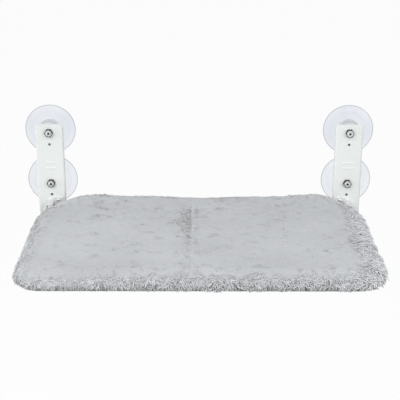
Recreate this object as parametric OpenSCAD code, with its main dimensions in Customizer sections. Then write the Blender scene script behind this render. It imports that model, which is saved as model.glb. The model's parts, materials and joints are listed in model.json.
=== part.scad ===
// Window mounted perch: two wall brackets on suction cups carry a folding cushioned bed.
// The glass is the plane y = 0. +X is right, +Y points into the glass and +Z is up.
// The origin is the middle of the four suction cups. Left is -X, as seen from the room.

/* [Wall brackets] */
// Distance between the two brackets' centre lines
bracket_spacing = 460; // [440:2:520]
// Height between the upper and lower suction cups of a bracket
cup_spacing = 81; // [80.5:0.5:90]
// Width of a bracket's plate
plate_w = 42; // [38:1:50]
// Thickness of the brackets' sheet steel
plate_t = 2; // [1.5:0.1:2.4]
// Distance from the glass to a plate's front face
plate_front_gap = 19.6; // [19.2:0.2:24]
// Depth of the bracket's flanges, plate included
flange_depth = 9; // [6:0.5:10]
// How far a plate reaches above its upper stud
plate_above_stud = 12.9; // [11.5:0.1:20]
// How far a plate reaches below its lower stud
plate_below_stud = 150; // [120:2:190]
// Corner radius of the plates
plate_corner_r = 5; // [3:0.5:8]
// Diameter of the spare screw holes in a plate
spare_hole_d = 4.2; // [3.5:0.1:5]
// Drop from a stud to the spare screw hole below it
spare_hole_drop = 18.8; // [18.7:0.1:22]

/* [Suction cups] */
// Outer diameter of a suction cup
cup_d = 77.6; // [72:0.2:80]
// Diameter of the step where a cup's thick middle begins
cup_step_d = 57.5; // [50:0.5:62]
// Diameter of the boss that holds the stud
cup_boss_d = 33; // [28:0.5:33]
// Thickness of a cup's thin lip at its edge
cup_lip_t = 1.2; // [0.8:0.1:1.8]
// Diameter of the studs
stud_d = 6.35; // [5:0.05:8]
// How far a stud stands out of its nut
stud_reach = 1.4; // [0.5:0.1:2]

/* [Hinges] */
// Distance from a plate's front face to the pivot axis
pivot_reach = 33.4; // [32:0.2:38]
// Height of the pivot axis below the lower studs
pivot_drop = 37; // [34:0.5:44]
// Diameter of the pivot pins
pin_d = 6; // [5:0.5:7]
// Thickness of the clevises' sheet steel
clevis_t = 2; // [1.5:0.1:2.5]
// How far a clevis sits outboard of its bracket's centre line
clevis_offset = 1.5; // [0:0.5:3]
// Thickness of the flat hinge arms
arm_t = 4; // [3:0.25:5]
// Height of the flat hinge arms
arm_h = 14.4; // [13:0.2:15.4]
// Length of the arms in front of the pivot axis
arm_front_l = 140; // [130:1:150]

/* [Bed] */
// Depth of the bed from back to front, cover included
bed_d = 305; // [290:1:330]
// Distance from the glass to the bed's back edge
bed_back_gap = 23; // [22:0.2:25]
// How far the cover reaches past the arms' outer faces
side_overhang = 12.5; // [10:0.5:18]
// Corner radius of the cover at the back
rear_corner_r = 100; // [98:1:104]
// Corner radius of the cover at the front
front_corner_r = 36; // [32:1:44]
// Diameter of the frame's tubes
tube_d = 16; // [14:0.5:16.4]
// Wall of the frame's tubes
tube_t = 1.3; // [1:0.1:1.8]
// Bend radius of the frame at its rear corners, on the tube's centre line
rear_bend_r = 75; // [70:1:84]
// Bend radius of the frame at its front corners, on the tube's centre line
front_bend_r = 40; // [34:1:46]
// Thickness of the canvas deck
deck_t = 1; // [0.8:0.1:1.4]
// Thickness of the foam pad
pad_t = 7; // [5:0.5:9]
// Thickness of the plush cover, backing and dense pile together
cover_t = 4; // [3:0.25:5]
// Rise of the cover's top above its edges, at its middle
crown = 1.5; // [0:0.25:4]
// Depth of the crease in the cover's top
crease_depth = 2; // [0:0.25:3]
// How far the cover's skirt turns in under the bed
hem_reach = 40; // [30:1:50]

/* [Feet] */
// Diameter of the rubber foot pads
foot_d = 30; // [24:1:36]
// Height of the foot pads' centres above the brackets' lower ends
foot_rise = 20; // [18:1:30]

/* [Hidden] */
$fn = 64;

LEFT = -1;
RIGHT = 1;
UPPER = 1;
LOWER = -1;

// Shared clearances
cut_overrun = 1;
face_gap = 0.3;
moulded_gap = 0.05;
hole_gap = 0.3;
running_gap = 0.05;

// Bracket plates
bracket_x = bracket_spacing / 2;
cup_z = cup_spacing / 2;
plate_front_y = -plate_front_gap;
plate_back_y = plate_front_y + plate_t;
plate_top_z = cup_z + plate_above_stud;
plate_bottom_z = -cup_z - plate_below_stud;
flange_end_inset = 7;
bend_r = 3;
bead_l = 17;
bead_w = 4.4;
bead_h = 0.3;
bead_pitch = 9;
bead_centre_drop = 53;

// Hex nuts on the studs
nut_af = 11.1;
nut_h = 5.6;
nut_chamfer = 0.7;
stud_tip_y = plate_front_y - nut_h - stud_reach;
stud_tip_chamfer = 0.6;
stud_head_d = 20;
stud_head_t = 2.5;
stud_head_y = -8;

// Suction cup profile, heights measured out from the glass
cup_r = cup_d / 2;
cup_step_r = cup_step_d / 2;
cup_boss_r = cup_boss_d / 2;
cup_face_w = 6.5;
cup_hollow_h = 1.8;
cup_lip_root_t = 3;
cup_step_h = 4.6;
cup_shoulder_h = 8.5;
cup_boss_h = -plate_back_y;
cup_dome_steps = 8;

// Hinge clevises
clevis_x = bracket_x + clevis_offset;
washer_t = 1;
thrust_play = 0.2;
clevis_inner_w = arm_t + 2 * (washer_t + thrust_play);
clevis_outer_w = clevis_inner_w + 2 * clevis_t;
pivot_y = plate_front_y - pivot_reach;
pivot_z = -cup_z - pivot_drop;
clevis_top_z = pivot_z + arm_h / 2 + face_gap + clevis_t;
clevis_drop = 2.6;
clevis_bottom_z = pivot_z - arm_h / 2 - clevis_drop;
clevis_ear_r = 8.5;
clevis_bend_r = 3;
web_gap = 2.3;
web_front_y = pivot_y + arm_h / 2 + web_gap;
tab_w = 12.3;
tab_rise = 3.5;
rivet_d = 4;
rivet_head_d = 6;
rivet_head_h = 1.5;
rivet_tail_h = 1;
rivet_inset = 6.3;
rivet_pitch = 13.4;
rivet_mid_z = (clevis_top_z + tab_rise + clevis_bottom_z) / 2;
rivet_x = clevis_x - clevis_outer_w / 2 - rivet_inset;

// Pivot pins, bushes and thrust washers
pin_head_d = 11;
pin_head_h = 3;
pin_tail_d = 8.5;
pin_tail_h = 1.8;
bush_wall = 1.4;
bush_flange_d = 12;
bush_r = pin_d / 2 + running_gap + bush_wall;

// Hinge arms
arm_rear_l = 26;
arm_outer_x = clevis_x + arm_t / 2;
arm_inner_x = clevis_x - arm_t / 2;
arm_front_y = pivot_y - arm_front_l;

// Bed outline and levels
bed_half_w = arm_outer_x + side_overhang;
bed_back_y = -bed_back_gap;
bed_front_y = bed_back_y - bed_d;
bed_mid_y = (bed_back_y + bed_front_y) / 2;
side_draw_in = 2;
tube_r = tube_d / 2;
tube_z = pivot_z;
sleeve_r = tube_r + moulded_gap + deck_t;
deck_z = tube_z + tube_r + moulded_gap;
pad_z = deck_z + deck_t;
pad_top_z = pad_z + pad_t;
cover_top_z = pad_top_z + face_gap + cover_t;
skirt_t = 2.6;
cover_bottom_z = tube_z - sleeve_r - face_gap - skirt_t;
cover_mid_z = (cover_top_z + cover_bottom_z) / 2;
cover_half_t = (cover_top_z - cover_bottom_z) / 2;

// Shape of the bed's edges, of the crease and of the rings that form the skins
upper_roll = 18;
lower_roll = 14;
half_turn = 180;
crease_x = -23;
crease_half_w = 13;
crease_end_share = 0.92;
crease_point_shares = [-1.4, -0.7, 0, 0.7, 1.4];
run_point_shares = [-0.65, 0.3, 0.65];
side_point_shares = [0.6, 0.2];
corner_steps = 6;
outer_roll_steps = 8;
inner_roll_steps = 6;
outer_top_shares = [0.9, 0.6, 0.3];
inner_top_shares = [0.9, 0.35];

// Frame tubes
tube_side_x = arm_inner_x - tube_r;
tube_to_cover = 4.5;
tube_back_y = bed_back_y - cover_t - tube_to_cover - tube_r;
tube_front_y = bed_front_y + cover_t + tube_to_cover + tube_r;
side_run = arm_front_y - tube_front_y - front_bend_r;
joint_run_share = 0.255;
swage_run_share = 0.382;
swage_l = swage_run_share * side_run;
swage_gap = 0.1;
swage_shoulder_l = 3;
swage_r = tube_r - tube_t - swage_gap;
frame_joint_y = arm_front_y - joint_run_share * side_run;
joint_screw_y = frame_joint_y - swage_l / 2;

// Arm bolts
bolt_d = 5;
bolt_head_d = 9.5;
bolt_head_h = 2.75;
bolt_nut_af = 8;
bolt_nut_h = 4;
bolt_thread_reach = 0.5;
arm_bolt_end_inset = 16;
arm_bolt_bend_gap = 16.5;
arm_bolt_front_y = arm_front_y + arm_bolt_end_inset;
arm_bolt_back_y = tube_back_y - rear_bend_r - arm_bolt_bend_gap;
arm_bolt_ys = [arm_bolt_front_y, arm_bolt_back_y];
screw_d = 4;
screw_head_d = 7.5;
screw_head_h = 2;

// Deck sleeves and tabs
sleeve_end_inset = 6;
tab_screw_gap = 4;
tab_bend_gap = 2;
tab_back_y = joint_screw_y - screw_head_d / 2 - tab_screw_gap;
tab_front_y = tube_front_y + front_bend_r + tab_bend_gap;
tab_band_w = tab_back_y - tab_front_y;
tab_band_t = 1.2;

// Foam pad
pad_edge_inset = 8;
pad_bevel_inset = 9.5;
pad_shoulder_inset = 14;
pad_shoulder_drop = 1;
pad_bevel_drop = 3.6;

// Slits in the cover where the arms come out
slit_gap = 0.8;
slit_l = 45;

// Foot pads
foot_z = plate_bottom_z + foot_rise;
foot_top_d = 24;
foot_screw_head_d = 10;
foot_screw_head_h = 2.8;
foot_screw_l = 14;

// Hem elastic
elastic_w = 6;
elastic_t = 2;

// A plate with round corners in the X and Z directions, its front face at y = front
module upright_plate(w, bottom, top, front, t, r) {
    translate([0, front + t, 0])
        rotate([90, 0, 0])
            linear_extrude(t)
                round_rectangle(w, bottom, top, r);
}

// A rectangle centred on x = 0 from y = bottom to y = top with round corners
module round_rectangle(w, bottom, top, r) {
    translate([-w / 2 + r, bottom])
        square([w - 2 * r, top - bottom]);
    translate([-w / 2, bottom + r])
        square([w, top - bottom - 2 * r]);
    for (x = [-1, 1], y = [bottom + r, top - r])
        translate([x * (w / 2 - r), y])
            circle(r);
}

// A cylinder along +Y that starts at y = start
module rod_y(r, start, l) {
    translate([0, start + l, 0])
        rotate([90, 0, 0])
            cylinder(r = r, h = l);
}

// A cylinder along +X that starts at x = start
module rod_x(r, start, l) {
    translate([start, 0, 0])
        rotate([0, 90, 0])
            cylinder(r = r, h = l);
}

// A hexagonal prism along +Z with both its ends' corners turned off
module hex_blank(af, h, chamfer) {
    corner_r = af / sqrt(3);
    flat_r = corner_r - chamfer;
    intersection() {
        cylinder(r = corner_r, h = h, $fn = 6);
        rotate_extrude()
            polygon([
                [0, 0], [flat_r, 0], [corner_r, chamfer / 2],
                [corner_r, h - chamfer / 2], [flat_r, h], [0, h]
            ]);
    }
}

// A low domed head along +Z: its flat side is at z = 0
module button_head(d, h) {
    rim_share = 0.35;
    rotate_extrude()
        polygon(concat(
            [[0, 0], [d / 2, 0]],
            [for (a = [0:15:90]) [d / 2 * cos(a), h * (rim_share + (1 - rim_share) * sin(a))]]
        ));
}

// One pressed bead, a low rounded bar that stands out of a plate's front face
module pressed_bead() {
    sphere_r = (sq(bead_w / 2) + sq(bead_h)) / (2 * bead_h);
    centre_y = plate_front_y - bead_h + sphere_r;
    intersection() {
        rod_x_at(sphere_r, -bead_l / 2, bead_l, centre_y);
        translate([-bead_l / 2, plate_front_y - bead_h - cut_overrun, -bead_w / 2])
            cube([bead_l, bead_h + cut_overrun + plate_t / 2, bead_w]);
    }
}

function sq(a) = a * a;

// A cylinder along +X at depth y
module rod_x_at(r, start, l, y) {
    translate([0, y, 0])
        rod_x(r, start, l);
}

// Plan outline of a channel's outside or inside: straight sides and two bent corners
module channel_outline(half_w, front_y, r, back_y) {
    translate([-half_w, front_y + r])
        square([2 * half_w, back_y - front_y - r]);
    translate([-half_w + r, front_y])
        square([2 * (half_w - r), r]);
    for (x = [-1, 1])
        translate([x * (half_w - r), front_y + r])
            circle(r);
}

// Plan section of a bracket: a bent channel, open towards the glass
module channel_section() {
    tip_y = plate_front_y + flange_depth;
    difference() {
        channel_outline(plate_w / 2, plate_front_y, bend_r, tip_y);
        channel_outline(plate_w / 2 - plate_t, plate_back_y, bend_r - plate_t, tip_y + cut_overrun);
    }
}

// Bent channel with round plate corners and shorter flanges
module bracket_channel() {
    height = plate_top_z - plate_bottom_z;
    intersection() {
        translate([0, 0, plate_bottom_z])
            linear_extrude(height)
                channel_section();
        union() {
            upright_plate(plate_w, plate_bottom_z, plate_top_z, plate_front_y, plate_t, plate_corner_r);
            translate([-plate_w / 2, plate_front_y, plate_bottom_z + flange_end_inset])
                cube([plate_w, flange_depth, height - 2 * flange_end_inset]);
        }
    }
}

// Wall bracket about its own centre line: channel, beads and holes
module wall_bracket() {
    difference() {
        union() {
            bracket_channel();
            for (i = [-1, 1])
                translate([0, 0, cup_z - bead_centre_drop + i * bead_pitch / 2])
                    pressed_bead();
        }
        for (level = [UPPER, LOWER]) {
            translate([0, 0, level * cup_z])
                plate_hole(stud_d / 2 + hole_gap);
            translate([0, 0, level * cup_z - spare_hole_drop])
                plate_hole(spare_hole_d / 2);
        }
        translate([0, 0, foot_z])
            plate_hole(bolt_d / 2 + hole_gap);
    }
}

module plate_hole(r) {
    rod_y(r, plate_front_y - bead_h - cut_overrun, plate_t + bead_h + 2 * cut_overrun);
}

// Both rivet holes of a clevis tab, cut through plate and tab
module rivet_holes(side) {
    for (i = [-1, 1])
        translate([side * rivet_x, 0, rivet_mid_z + i * rivet_pitch / 2])
            rod_y(rivet_d / 2 + moulded_gap, plate_front_y - clevis_t - cut_overrun,
                  plate_t + clevis_t + 2 * cut_overrun);
}

module wall_bracket_at(side) {
    color([0.90, 0.92, 0.90])
        difference() {
            translate([side * bracket_x, 0, 0])
                wall_bracket();
            rivet_holes(side);
        }
}

// Dome of a suction cup, from its step up to its boss, as a quarter wave
function cup_dome() =
    let (run = cup_boss_r - cup_step_r, rise = cup_shoulder_h - cup_step_h)
    [
        for (i = [1:cup_dome_steps - 1])
            let (a = 90 * i / cup_dome_steps)
                [cup_step_r + run * sin(a), cup_step_h + rise * (1 - cos(a))]
    ];

// Half section of a suction cup: x is the radius and y the height above the glass
module cup_profile() {
    face_in = cup_r - cup_face_w;
    polygon(concat(
        [[face_in, 0], [cup_r, 0], [cup_r, cup_lip_t]],
        [[cup_step_r, cup_lip_root_t], [cup_step_r, cup_step_h]],
        cup_dome(),
        [[cup_boss_r, cup_shoulder_h], [cup_boss_r, cup_boss_h], [0, cup_boss_h], [0, cup_hollow_h],
         [face_in / 2, cup_hollow_h]]
    ));
}

module suction_cup_at(side, level) {
    color([0.90, 0.93, 0.97, 0.5])
        translate([side * bracket_x, 0, level * cup_z])
            rotate([90, 0, 0])
                difference() {
                    rotate_extrude($fn = 96)
                        cup_profile();
                    translate([0, 0, -stud_head_y - moulded_gap])
                        cylinder(r = stud_head_d / 2 + moulded_gap, h = stud_head_t + 2 * moulded_gap);
                    cylinder_from(stud_d / 2 + moulded_gap, -stud_head_y, cup_boss_h + cut_overrun);
                }
}

// A cylinder along +Z between two heights
module cylinder_from(r, bottom, top) {
    translate([0, 0, bottom])
        cylinder(r = r, h = top - bottom);
}

// Headed stud moulded into a cup, with a chamfered tip
module cup_stud() {
    tip = -stud_tip_y;
    head = -stud_head_y;
    rotate([90, 0, 0])
        rotate_extrude()
            polygon([
                [0, head], [stud_head_d / 2, head], [stud_head_d / 2, head + stud_head_t],
                [stud_d / 2, head + stud_head_t], [stud_d / 2, tip - stud_tip_chamfer],
                [stud_d / 2 - stud_tip_chamfer, tip], [0, tip]
            ]);
}

module at_each_cup() {
    for (side = [LEFT, RIGHT], level = [UPPER, LOWER])
        translate([side * bracket_x, 0, level * cup_z])
            children();
}

module cup_studs() {
    color("silver")
        at_each_cup()
            cup_stud();
}

module cup_nuts() {
    color("gray")
        at_each_cup()
            translate([0, plate_front_y, 0])
                rotate([90, 0, 0])
                    difference() {
                        hex_blank(nut_af, nut_h, nut_chamfer);
                        cylinder_from(stud_d / 2 + moulded_gap, -cut_overrun, nut_h + cut_overrun);
                    }
}

// Side view of a clevis ear: y runs along the depth and z up
module clevis_ear_outline() {
    translate([pivot_y, clevis_bottom_z])
        square([plate_front_y - pivot_y, pivot_z - clevis_bottom_z]);
    translate([web_front_y, pivot_z])
        square([plate_front_y - web_front_y, clevis_top_z - pivot_z]);
    translate([pivot_y, pivot_z])
        square([web_front_y - pivot_y, clevis_ear_r]);
    translate([pivot_y, pivot_z])
        circle(clevis_ear_r);
}

// Extrudes an outline drawn in the Y Z plane from x = start towards +X
module extrude_x(start, l) {
    translate([start, 0, 0])
        multmatrix([[0, 0, 1, 0], [1, 0, 0, 0], [0, 1, 0, 0], [0, 0, 0, 1]])
            linear_extrude(l)
                children();
}

// Front view of a clevis: two ears bent down from a web, with bent corners
module clevis_section() {
    half = clevis_outer_w / 2;
    below = clevis_bottom_z - cut_overrun;
    difference() {
        clevis_arch(half, clevis_top_z, clevis_bend_r, below);
        clevis_arch(half - clevis_t, clevis_top_z - clevis_t, clevis_bend_r - clevis_t, below - cut_overrun);
    }
}

module clevis_arch(half, top, r, below) {
    translate([-half, below])
        square([2 * half, top - r - below]);
    translate([-half + r, top - r])
        square([2 * (half - r), r]);
    for (x = [-1, 1])
        translate([x * (half - r), top - r])
            circle(r);
}

// Bent ears and web of a clevis about its own centre line, with no web in front of web_front_y
module clevis_channel() {
    difference() {
        intersection() {
            translate([0, plate_front_y, 0])
                rotate([90, 0, 0])
                    linear_extrude(2 * pivot_reach)
                        clevis_section();
            extrude_x(-clevis_outer_w, 2 * clevis_outer_w)
                clevis_ear_outline();
        }
        translate([-clevis_inner_w / 2, web_front_y - pivot_reach, clevis_bottom_z - cut_overrun])
            cube([clevis_inner_w, pivot_reach, clevis_top_z - clevis_bottom_z + 2 * cut_overrun]);
    }
}

// Hinge clevis: ears for the pivot pin, a web that stops the arm, and a riveted tab
module hinge_clevis(side) {
    half = clevis_outer_w / 2;
    tab_top_z = clevis_top_z + tab_rise;
    tab_x = side > 0 ? -half - tab_w : half - clevis_t;
    color([0.86, 0.88, 0.87])
        difference() {
            translate([side * clevis_x, 0, 0]) {
                clevis_channel();
                translate([tab_x, plate_front_y - clevis_t, clevis_bottom_z])
                    cube([tab_w + clevis_t, clevis_t, tab_top_z - clevis_bottom_z]);
            }
            translate([side * clevis_x, pivot_y, pivot_z])
                rod_x(pin_d / 2 + running_gap, -half - cut_overrun, clevis_outer_w + 2 * cut_overrun);
            rivet_holes(side);
        }
}

// Rivets through tab and plate, domed in front and flat behind
module clevis_rivets() {
    color("white")
        for (side = [LEFT, RIGHT], i = [-1, 1])
            translate([side * rivet_x, plate_front_y - clevis_t, rivet_mid_z + i * rivet_pitch / 2])
                rotate([90, 0, 0]) {
                    button_head(rivet_head_d, rivet_head_h);
                    cylinder_from(rivet_d / 2, -clevis_t - plate_t, 0);
                    cylinder_from(rivet_head_d / 2, -clevis_t - plate_t - rivet_tail_h, -clevis_t - plate_t);
                }
}

// Headed pivot pin with a peened inner end, set in both ears
module pivot_pin(side) {
    half = clevis_outer_w / 2;
    color("silver")
        translate([side * clevis_x, pivot_y, pivot_z])
            rotate([0, side * 90, 0]) {
                cylinder_from(pin_d / 2, -half, half);
                translate([0, 0, half])
                    button_head(pin_head_d, pin_head_h);
                cylinder_from(pin_tail_d / 2, -half - pin_tail_h, -half);
            }
}

module foot_pad(side) {
    color([0.25, 0.26, 0.27])
        translate([side * bracket_x, 0, foot_z])
            rotate([90, 0, 0])
                difference() {
                    cylinder(r1 = foot_d / 2, r2 = foot_top_d / 2, h = -plate_back_y);
                    cylinder_from(bolt_d / 2 + moulded_gap, -plate_front_y - foot_screw_l - moulded_gap,
                                  -plate_back_y + cut_overrun);
                }
}

module foot_screws() {
    color("silver")
        for (side = [LEFT, RIGHT])
            translate([side * bracket_x, plate_front_y, foot_z])
                rotate([90, 0, 0]) {
                    button_head(foot_screw_head_d, foot_screw_head_h);
                    cylinder_from(bolt_d / 2, -foot_screw_l, 0);
                }
}

// Side view of a hinge arm with round ends
module arm_outline() {
    half = arm_h / 2;
    rear_y = pivot_y + arm_rear_l;
    translate([arm_front_y + half, pivot_z - half])
        square([rear_y - arm_front_y - 2 * half, arm_h]);
    for (y = [arm_front_y + half, rear_y - half])
        translate([y, pivot_z])
            circle(half);
}

module hinge_arm(side) {
    color([0.86, 0.88, 0.87])
        translate([side * clevis_x, 0, 0])
            difference() {
                extrude_x(-arm_t / 2, arm_t)
                    arm_outline();
                translate([0, pivot_y, pivot_z])
                    rod_x(bush_r + moulded_gap, -arm_t / 2 - cut_overrun, arm_t + 2 * cut_overrun);
                for (y = arm_bolt_ys)
                    translate([0, y, pivot_z])
                        rod_x(bolt_d / 2 + hole_gap, -arm_t / 2 - cut_overrun, arm_t + 2 * cut_overrun);
            }
}

// Flanged bush in an arm's pivot hole, its flange on the inner side
module pivot_bush(side) {
    color("white")
        translate([side * clevis_x, pivot_y, pivot_z])
            rotate([0, -side * 90, 0])
                difference() {
                    union() {
                        cylinder_from(bush_r, -arm_t / 2, arm_t / 2);
                        cylinder_from(bush_flange_d / 2, arm_t / 2, arm_t / 2 + washer_t);
                    }
                    cylinder_from(pin_d / 2 + running_gap, -arm_t, arm_t);
                }
}

module thrust_washers() {
    color("white")
        for (side = [LEFT, RIGHT])
            translate([side * clevis_x, pivot_y, pivot_z])
                rotate([0, side * 90, 0])
                    difference() {
                        cylinder_from(bush_flange_d / 2, arm_t / 2, arm_t / 2 + washer_t);
                        cylinder_from(pin_d / 2 + running_gap, arm_t / 2 - cut_overrun, arm_t);
                    }
}

// Half of a U of round bar in the plane z = 0: half the back run, a bend and one leg
module u_rod(r, half_w, run_y, bend_r, leg_end_y) {
    dir = sign(leg_end_y - run_y);
    straight = half_w - bend_r;
    leg_start_y = run_y + dir * bend_r;
    for (side = [LEFT, RIGHT]) {
        translate([side * straight, leg_start_y, 0])
            rotate([0, 0, side > 0 ? (dir > 0 ? 270 : 0) : (dir > 0 ? 180 : 90)])
                rotate_extrude(angle = 90)
                    translate([bend_r, 0])
                        circle(r);
        translate([side * half_w, leg_start_y, 0])
            rotate([-dir * 90, 0, 0])
                cylinder(r = r, h = abs(leg_end_y - leg_start_y));
    }
    translate([-straight, run_y, 0])
        rod_x(r, 0, 2 * straight);
}

// Cross holes for the arm bolts, and for the frame joint screws on the inner side
module frame_holes() {
    for (side = [LEFT, RIGHT]) {
        for (y = arm_bolt_ys)
            translate([side * tube_side_x, y, tube_z])
                rod_x(bolt_d / 2 + hole_gap, -tube_d, 2 * tube_d);
        translate([side * tube_side_x, joint_screw_y, tube_z])
            rotate([0, -side * 90, 0])
                cylinder(r = screw_d / 2 + moulded_gap, h = tube_d);
    }
}

module front_frame_tube() {
    bore_end_y = frame_joint_y + cut_overrun;
    color("white")
        difference() {
            translate([0, 0, tube_z])
                difference() {
                    u_rod(tube_r, tube_side_x, tube_front_y, front_bend_r, frame_joint_y);
                    u_rod(tube_r - tube_t, tube_side_x, tube_front_y, front_bend_r, bore_end_y);
                }
            frame_holes();
        }
}

// Rear U with a shoulder in each leg, from which a reduced end runs into the front U
module rear_frame_tube() {
    shoulder_y = frame_joint_y + swage_shoulder_l;
    swage_end_y = frame_joint_y - swage_l;
    color("white")
        difference() {
            translate([0, 0, tube_z])
                difference() {
                    union() {
                        u_rod(tube_r, tube_side_x, tube_back_y, rear_bend_r, frame_joint_y);
                        leg_rods(swage_r, frame_joint_y + cut_overrun, swage_end_y);
                    }
                    u_rod(tube_r - tube_t, tube_side_x, tube_back_y, rear_bend_r, shoulder_y);
                    leg_rods(swage_r - tube_t, shoulder_y + cut_overrun, swage_end_y - cut_overrun);
                }
            frame_holes();
        }
}

// A round bar in each leg of the frame, from one depth to a lower one
module leg_rods(r, from_y, to_y) {
    for (side = [LEFT, RIGHT])
        translate([side * tube_side_x, from_y, 0])
            rotate([90, 0, 0])
                cylinder(r = r, h = from_y - to_y);
}

// Screws that pin the two U tubes together, put in from inside the frame
module frame_joint_screws() {
    color("silver")
        for (side = [LEFT, RIGHT])
            translate([side * (tube_side_x - tube_r), joint_screw_y, tube_z])
                rotate([0, -side * 90, 0]) {
                    button_head(screw_head_d, screw_head_h);
                    cylinder_from(screw_d / 2, -tube_r, 0);
                }
}

module arm_bolts() {
    color("silver")
        for (side = [LEFT, RIGHT], y = arm_bolt_ys)
            translate([side * arm_outer_x, y, pivot_z])
                rotate([0, side * 90, 0]) {
                    button_head(bolt_head_d, bolt_head_h);
                    cylinder_from(bolt_d / 2, -arm_t - tube_d - bolt_nut_h - bolt_thread_reach, 0);
                }
}

module arm_nuts() {
    color("gray")
        for (side = [LEFT, RIGHT], y = arm_bolt_ys)
            translate([side * (tube_side_x - tube_r), y, pivot_z])
                rotate([0, -side * 90, 0])
                    difference() {
                        hex_blank(bolt_nut_af, bolt_nut_h, nut_chamfer / 2);
                        cylinder_from(bolt_d / 2 + moulded_gap, -cut_overrun, bolt_nut_h + cut_overrun);
                    }
}

// Plan of the deck, out to the tubes' centre lines
module deck_plan() {
    rear_straight = tube_side_x - rear_bend_r;
    front_straight = tube_side_x - front_bend_r;
    translate([-rear_straight, tube_back_y - rear_bend_r])
        square([2 * rear_straight, rear_bend_r]);
    translate([-front_straight, tube_front_y])
        square([2 * front_straight, front_bend_r]);
    translate([-tube_side_x, tube_front_y + front_bend_r])
        square([2 * tube_side_x, tube_back_y - rear_bend_r - tube_front_y - front_bend_r]);
    for (side = [LEFT, RIGHT]) {
        translate([side * rear_straight, tube_back_y - rear_bend_r])
            circle(rear_bend_r);
        translate([side * front_straight, tube_front_y + front_bend_r])
            circle(front_bend_r);
    }
}

// Sleeve round a straight run of tube
module deck_sleeve(half_l, y) {
    translate([0, y, tube_z])
        difference() {
            rod_x(sleeve_r, -half_l, 2 * half_l);
            rod_x(sleeve_r - deck_t, -half_l - cut_overrun, 2 * (half_l + cut_overrun));
        }
}

module canvas_deck() {
    color([0.80, 0.81, 0.82]) {
        translate([0, 0, deck_z])
            linear_extrude(deck_t)
                deck_plan();
        deck_sleeve(tube_side_x - rear_bend_r - sleeve_end_inset, tube_back_y);
        deck_sleeve(tube_side_x - front_bend_r - sleeve_end_inset, tube_front_y);
    }
}

// Webbing loops that hold the deck's sides to the side tubes, in front of the frame's joints
module deck_tabs() {
    inner_r = tube_r + moulded_gap;
    color([0.55, 0.56, 0.58])
        for (side = [LEFT, RIGHT])
            translate([side * tube_side_x, (tab_back_y + tab_front_y) / 2, tube_z])
                rotate([-90, 0, 0])
                    difference() {
                        cylinder(r = inner_r + tab_band_t, h = tab_band_w, center = true);
                        cylinder(r = inner_r, h = tab_band_w + 2 * cut_overrun, center = true);
                        translate([-tube_d, -tube_d - tube_r, -tab_band_w])
                            cube([2 * tube_d, tube_d, 2 * tab_band_w]);
                    }
}

// X of the plan's points along its back and front runs, from right to left
rear_run = bed_half_w - rear_corner_r;
run_x = concat(
    [run_point_shares[2] * rear_run, run_point_shares[1] * rear_run],
    [for (i = [len(crease_point_shares) - 1:-1:0]) crease_x + crease_point_shares[i] * crease_half_w],
    [run_point_shares[0] * rear_run]
);

// One corner's arc, swept from angle a0 through 90 degrees
function corner_arc(cx, cy, r, a0) = [
    for (i = [0:corner_steps])
        let (a = a0 + 90 * i / corner_steps)
            [cx + r * cos(a), cy + r * sin(a)]
];

// Points of the plan at an inset from its edge, anticlockwise from the middle of the right side
function plan_ring(inset) =
    let (
        w = bed_half_w - inset,
        back = bed_back_y - inset,
        front = bed_front_y + inset,
        rear_r = rear_corner_r - inset,
        front_r = max(front_corner_r - inset, lower_roll / 2),
        side_mid = (back - rear_r + front + front_r) / 2,
        side_half = (back - rear_r - front - front_r) / 2,
        low = side_point_shares[1],
        high = side_point_shares[0]
    )
    concat(
        [for (s = [low, high]) [w, side_mid + s * side_half]],
        corner_arc(w - rear_r, back - rear_r, rear_r, 0),
        [for (x = run_x) [x, back]],
        corner_arc(rear_r - w, back - rear_r, rear_r, 90),
        [for (s = [high, low, -low, -high]) [-w, side_mid + s * side_half]],
        corner_arc(front_r - w, front + front_r, front_r, 180),
        [for (i = [len(run_x) - 1:-1:0]) [run_x[i], front]],
        corner_arc(w - front_r, front + front_r, front_r, 270),
        [for (s = [-high, -low]) [w, side_mid + s * side_half]]
    );

// The sides pull in a little between the corners
function drawn_in(p) =
    let (share = (p[1] - bed_mid_y) / (bed_d / 2))
        [p[0] * (1 - side_draw_in / bed_half_w * max(0, 1 - sq(share))), p[1]];

// Height that the crown adds and the crease takes away at a point of the top
function top_form(p) =
    let (
        u = p[0] / bed_half_w,
        v = (p[1] - bed_mid_y) / (bed_d / 2),
        c = (p[0] - crease_x) / crease_half_w
    )
    crown * max(0, 1 - sq(u)) * max(0, 1 - sq(v))
    - crease_depth * exp(-sq(c)) * max(0, 1 - sq(v / crease_end_share));

// Ring of points at an inset and a height: form is the share of the crown and crease that it takes
function level_ring(inset, z, form) = [
    for (p = plan_ring(inset))
        let (q = drawn_in(p))
            [q[0], q[1], z + form * top_form(q)]
];

// Ring of the top drawn by a share from the top's edge towards its spine
spine_half_l = bed_half_w - bed_d / 2;
function top_ring(z, toward) = [
    for (p = plan_ring(upper_roll))
        let (
            q = drawn_in(p),
            spine_x = max(-spine_half_l, min(spine_half_l, q[0])),
            m = [q[0] + toward * (spine_x - q[0]), q[1] + toward * (bed_mid_y - q[1])]
        )
        [m[0], m[1], z + top_form(m)]
];

// Ring on a skin's rolled edge: a is 90 at the top, 0 at the side and -90 underneath
function roll_ring(a, in_side, in_top, in_bottom) =
    let (
        roll = (a > 0 ? upper_roll : lower_roll) - in_side,
        half_t = cover_half_t - (a > 0 ? in_top : in_bottom)
    )
    level_ring(in_side + roll * (1 - cos(a)), cover_mid_z + half_t * sin(a), sq(max(0, sin(a))));

// Triangles between ring k and ring next, rings of n points
function strip(k, next, n) = [
    for (j = [0:n - 1])
        let (a = k * n + j, b = k * n + (j + 1) % n, c = next * n + j, d = next * n + (j + 1) % n)
            each [[a, b, d], [a, d, c]]
];

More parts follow.
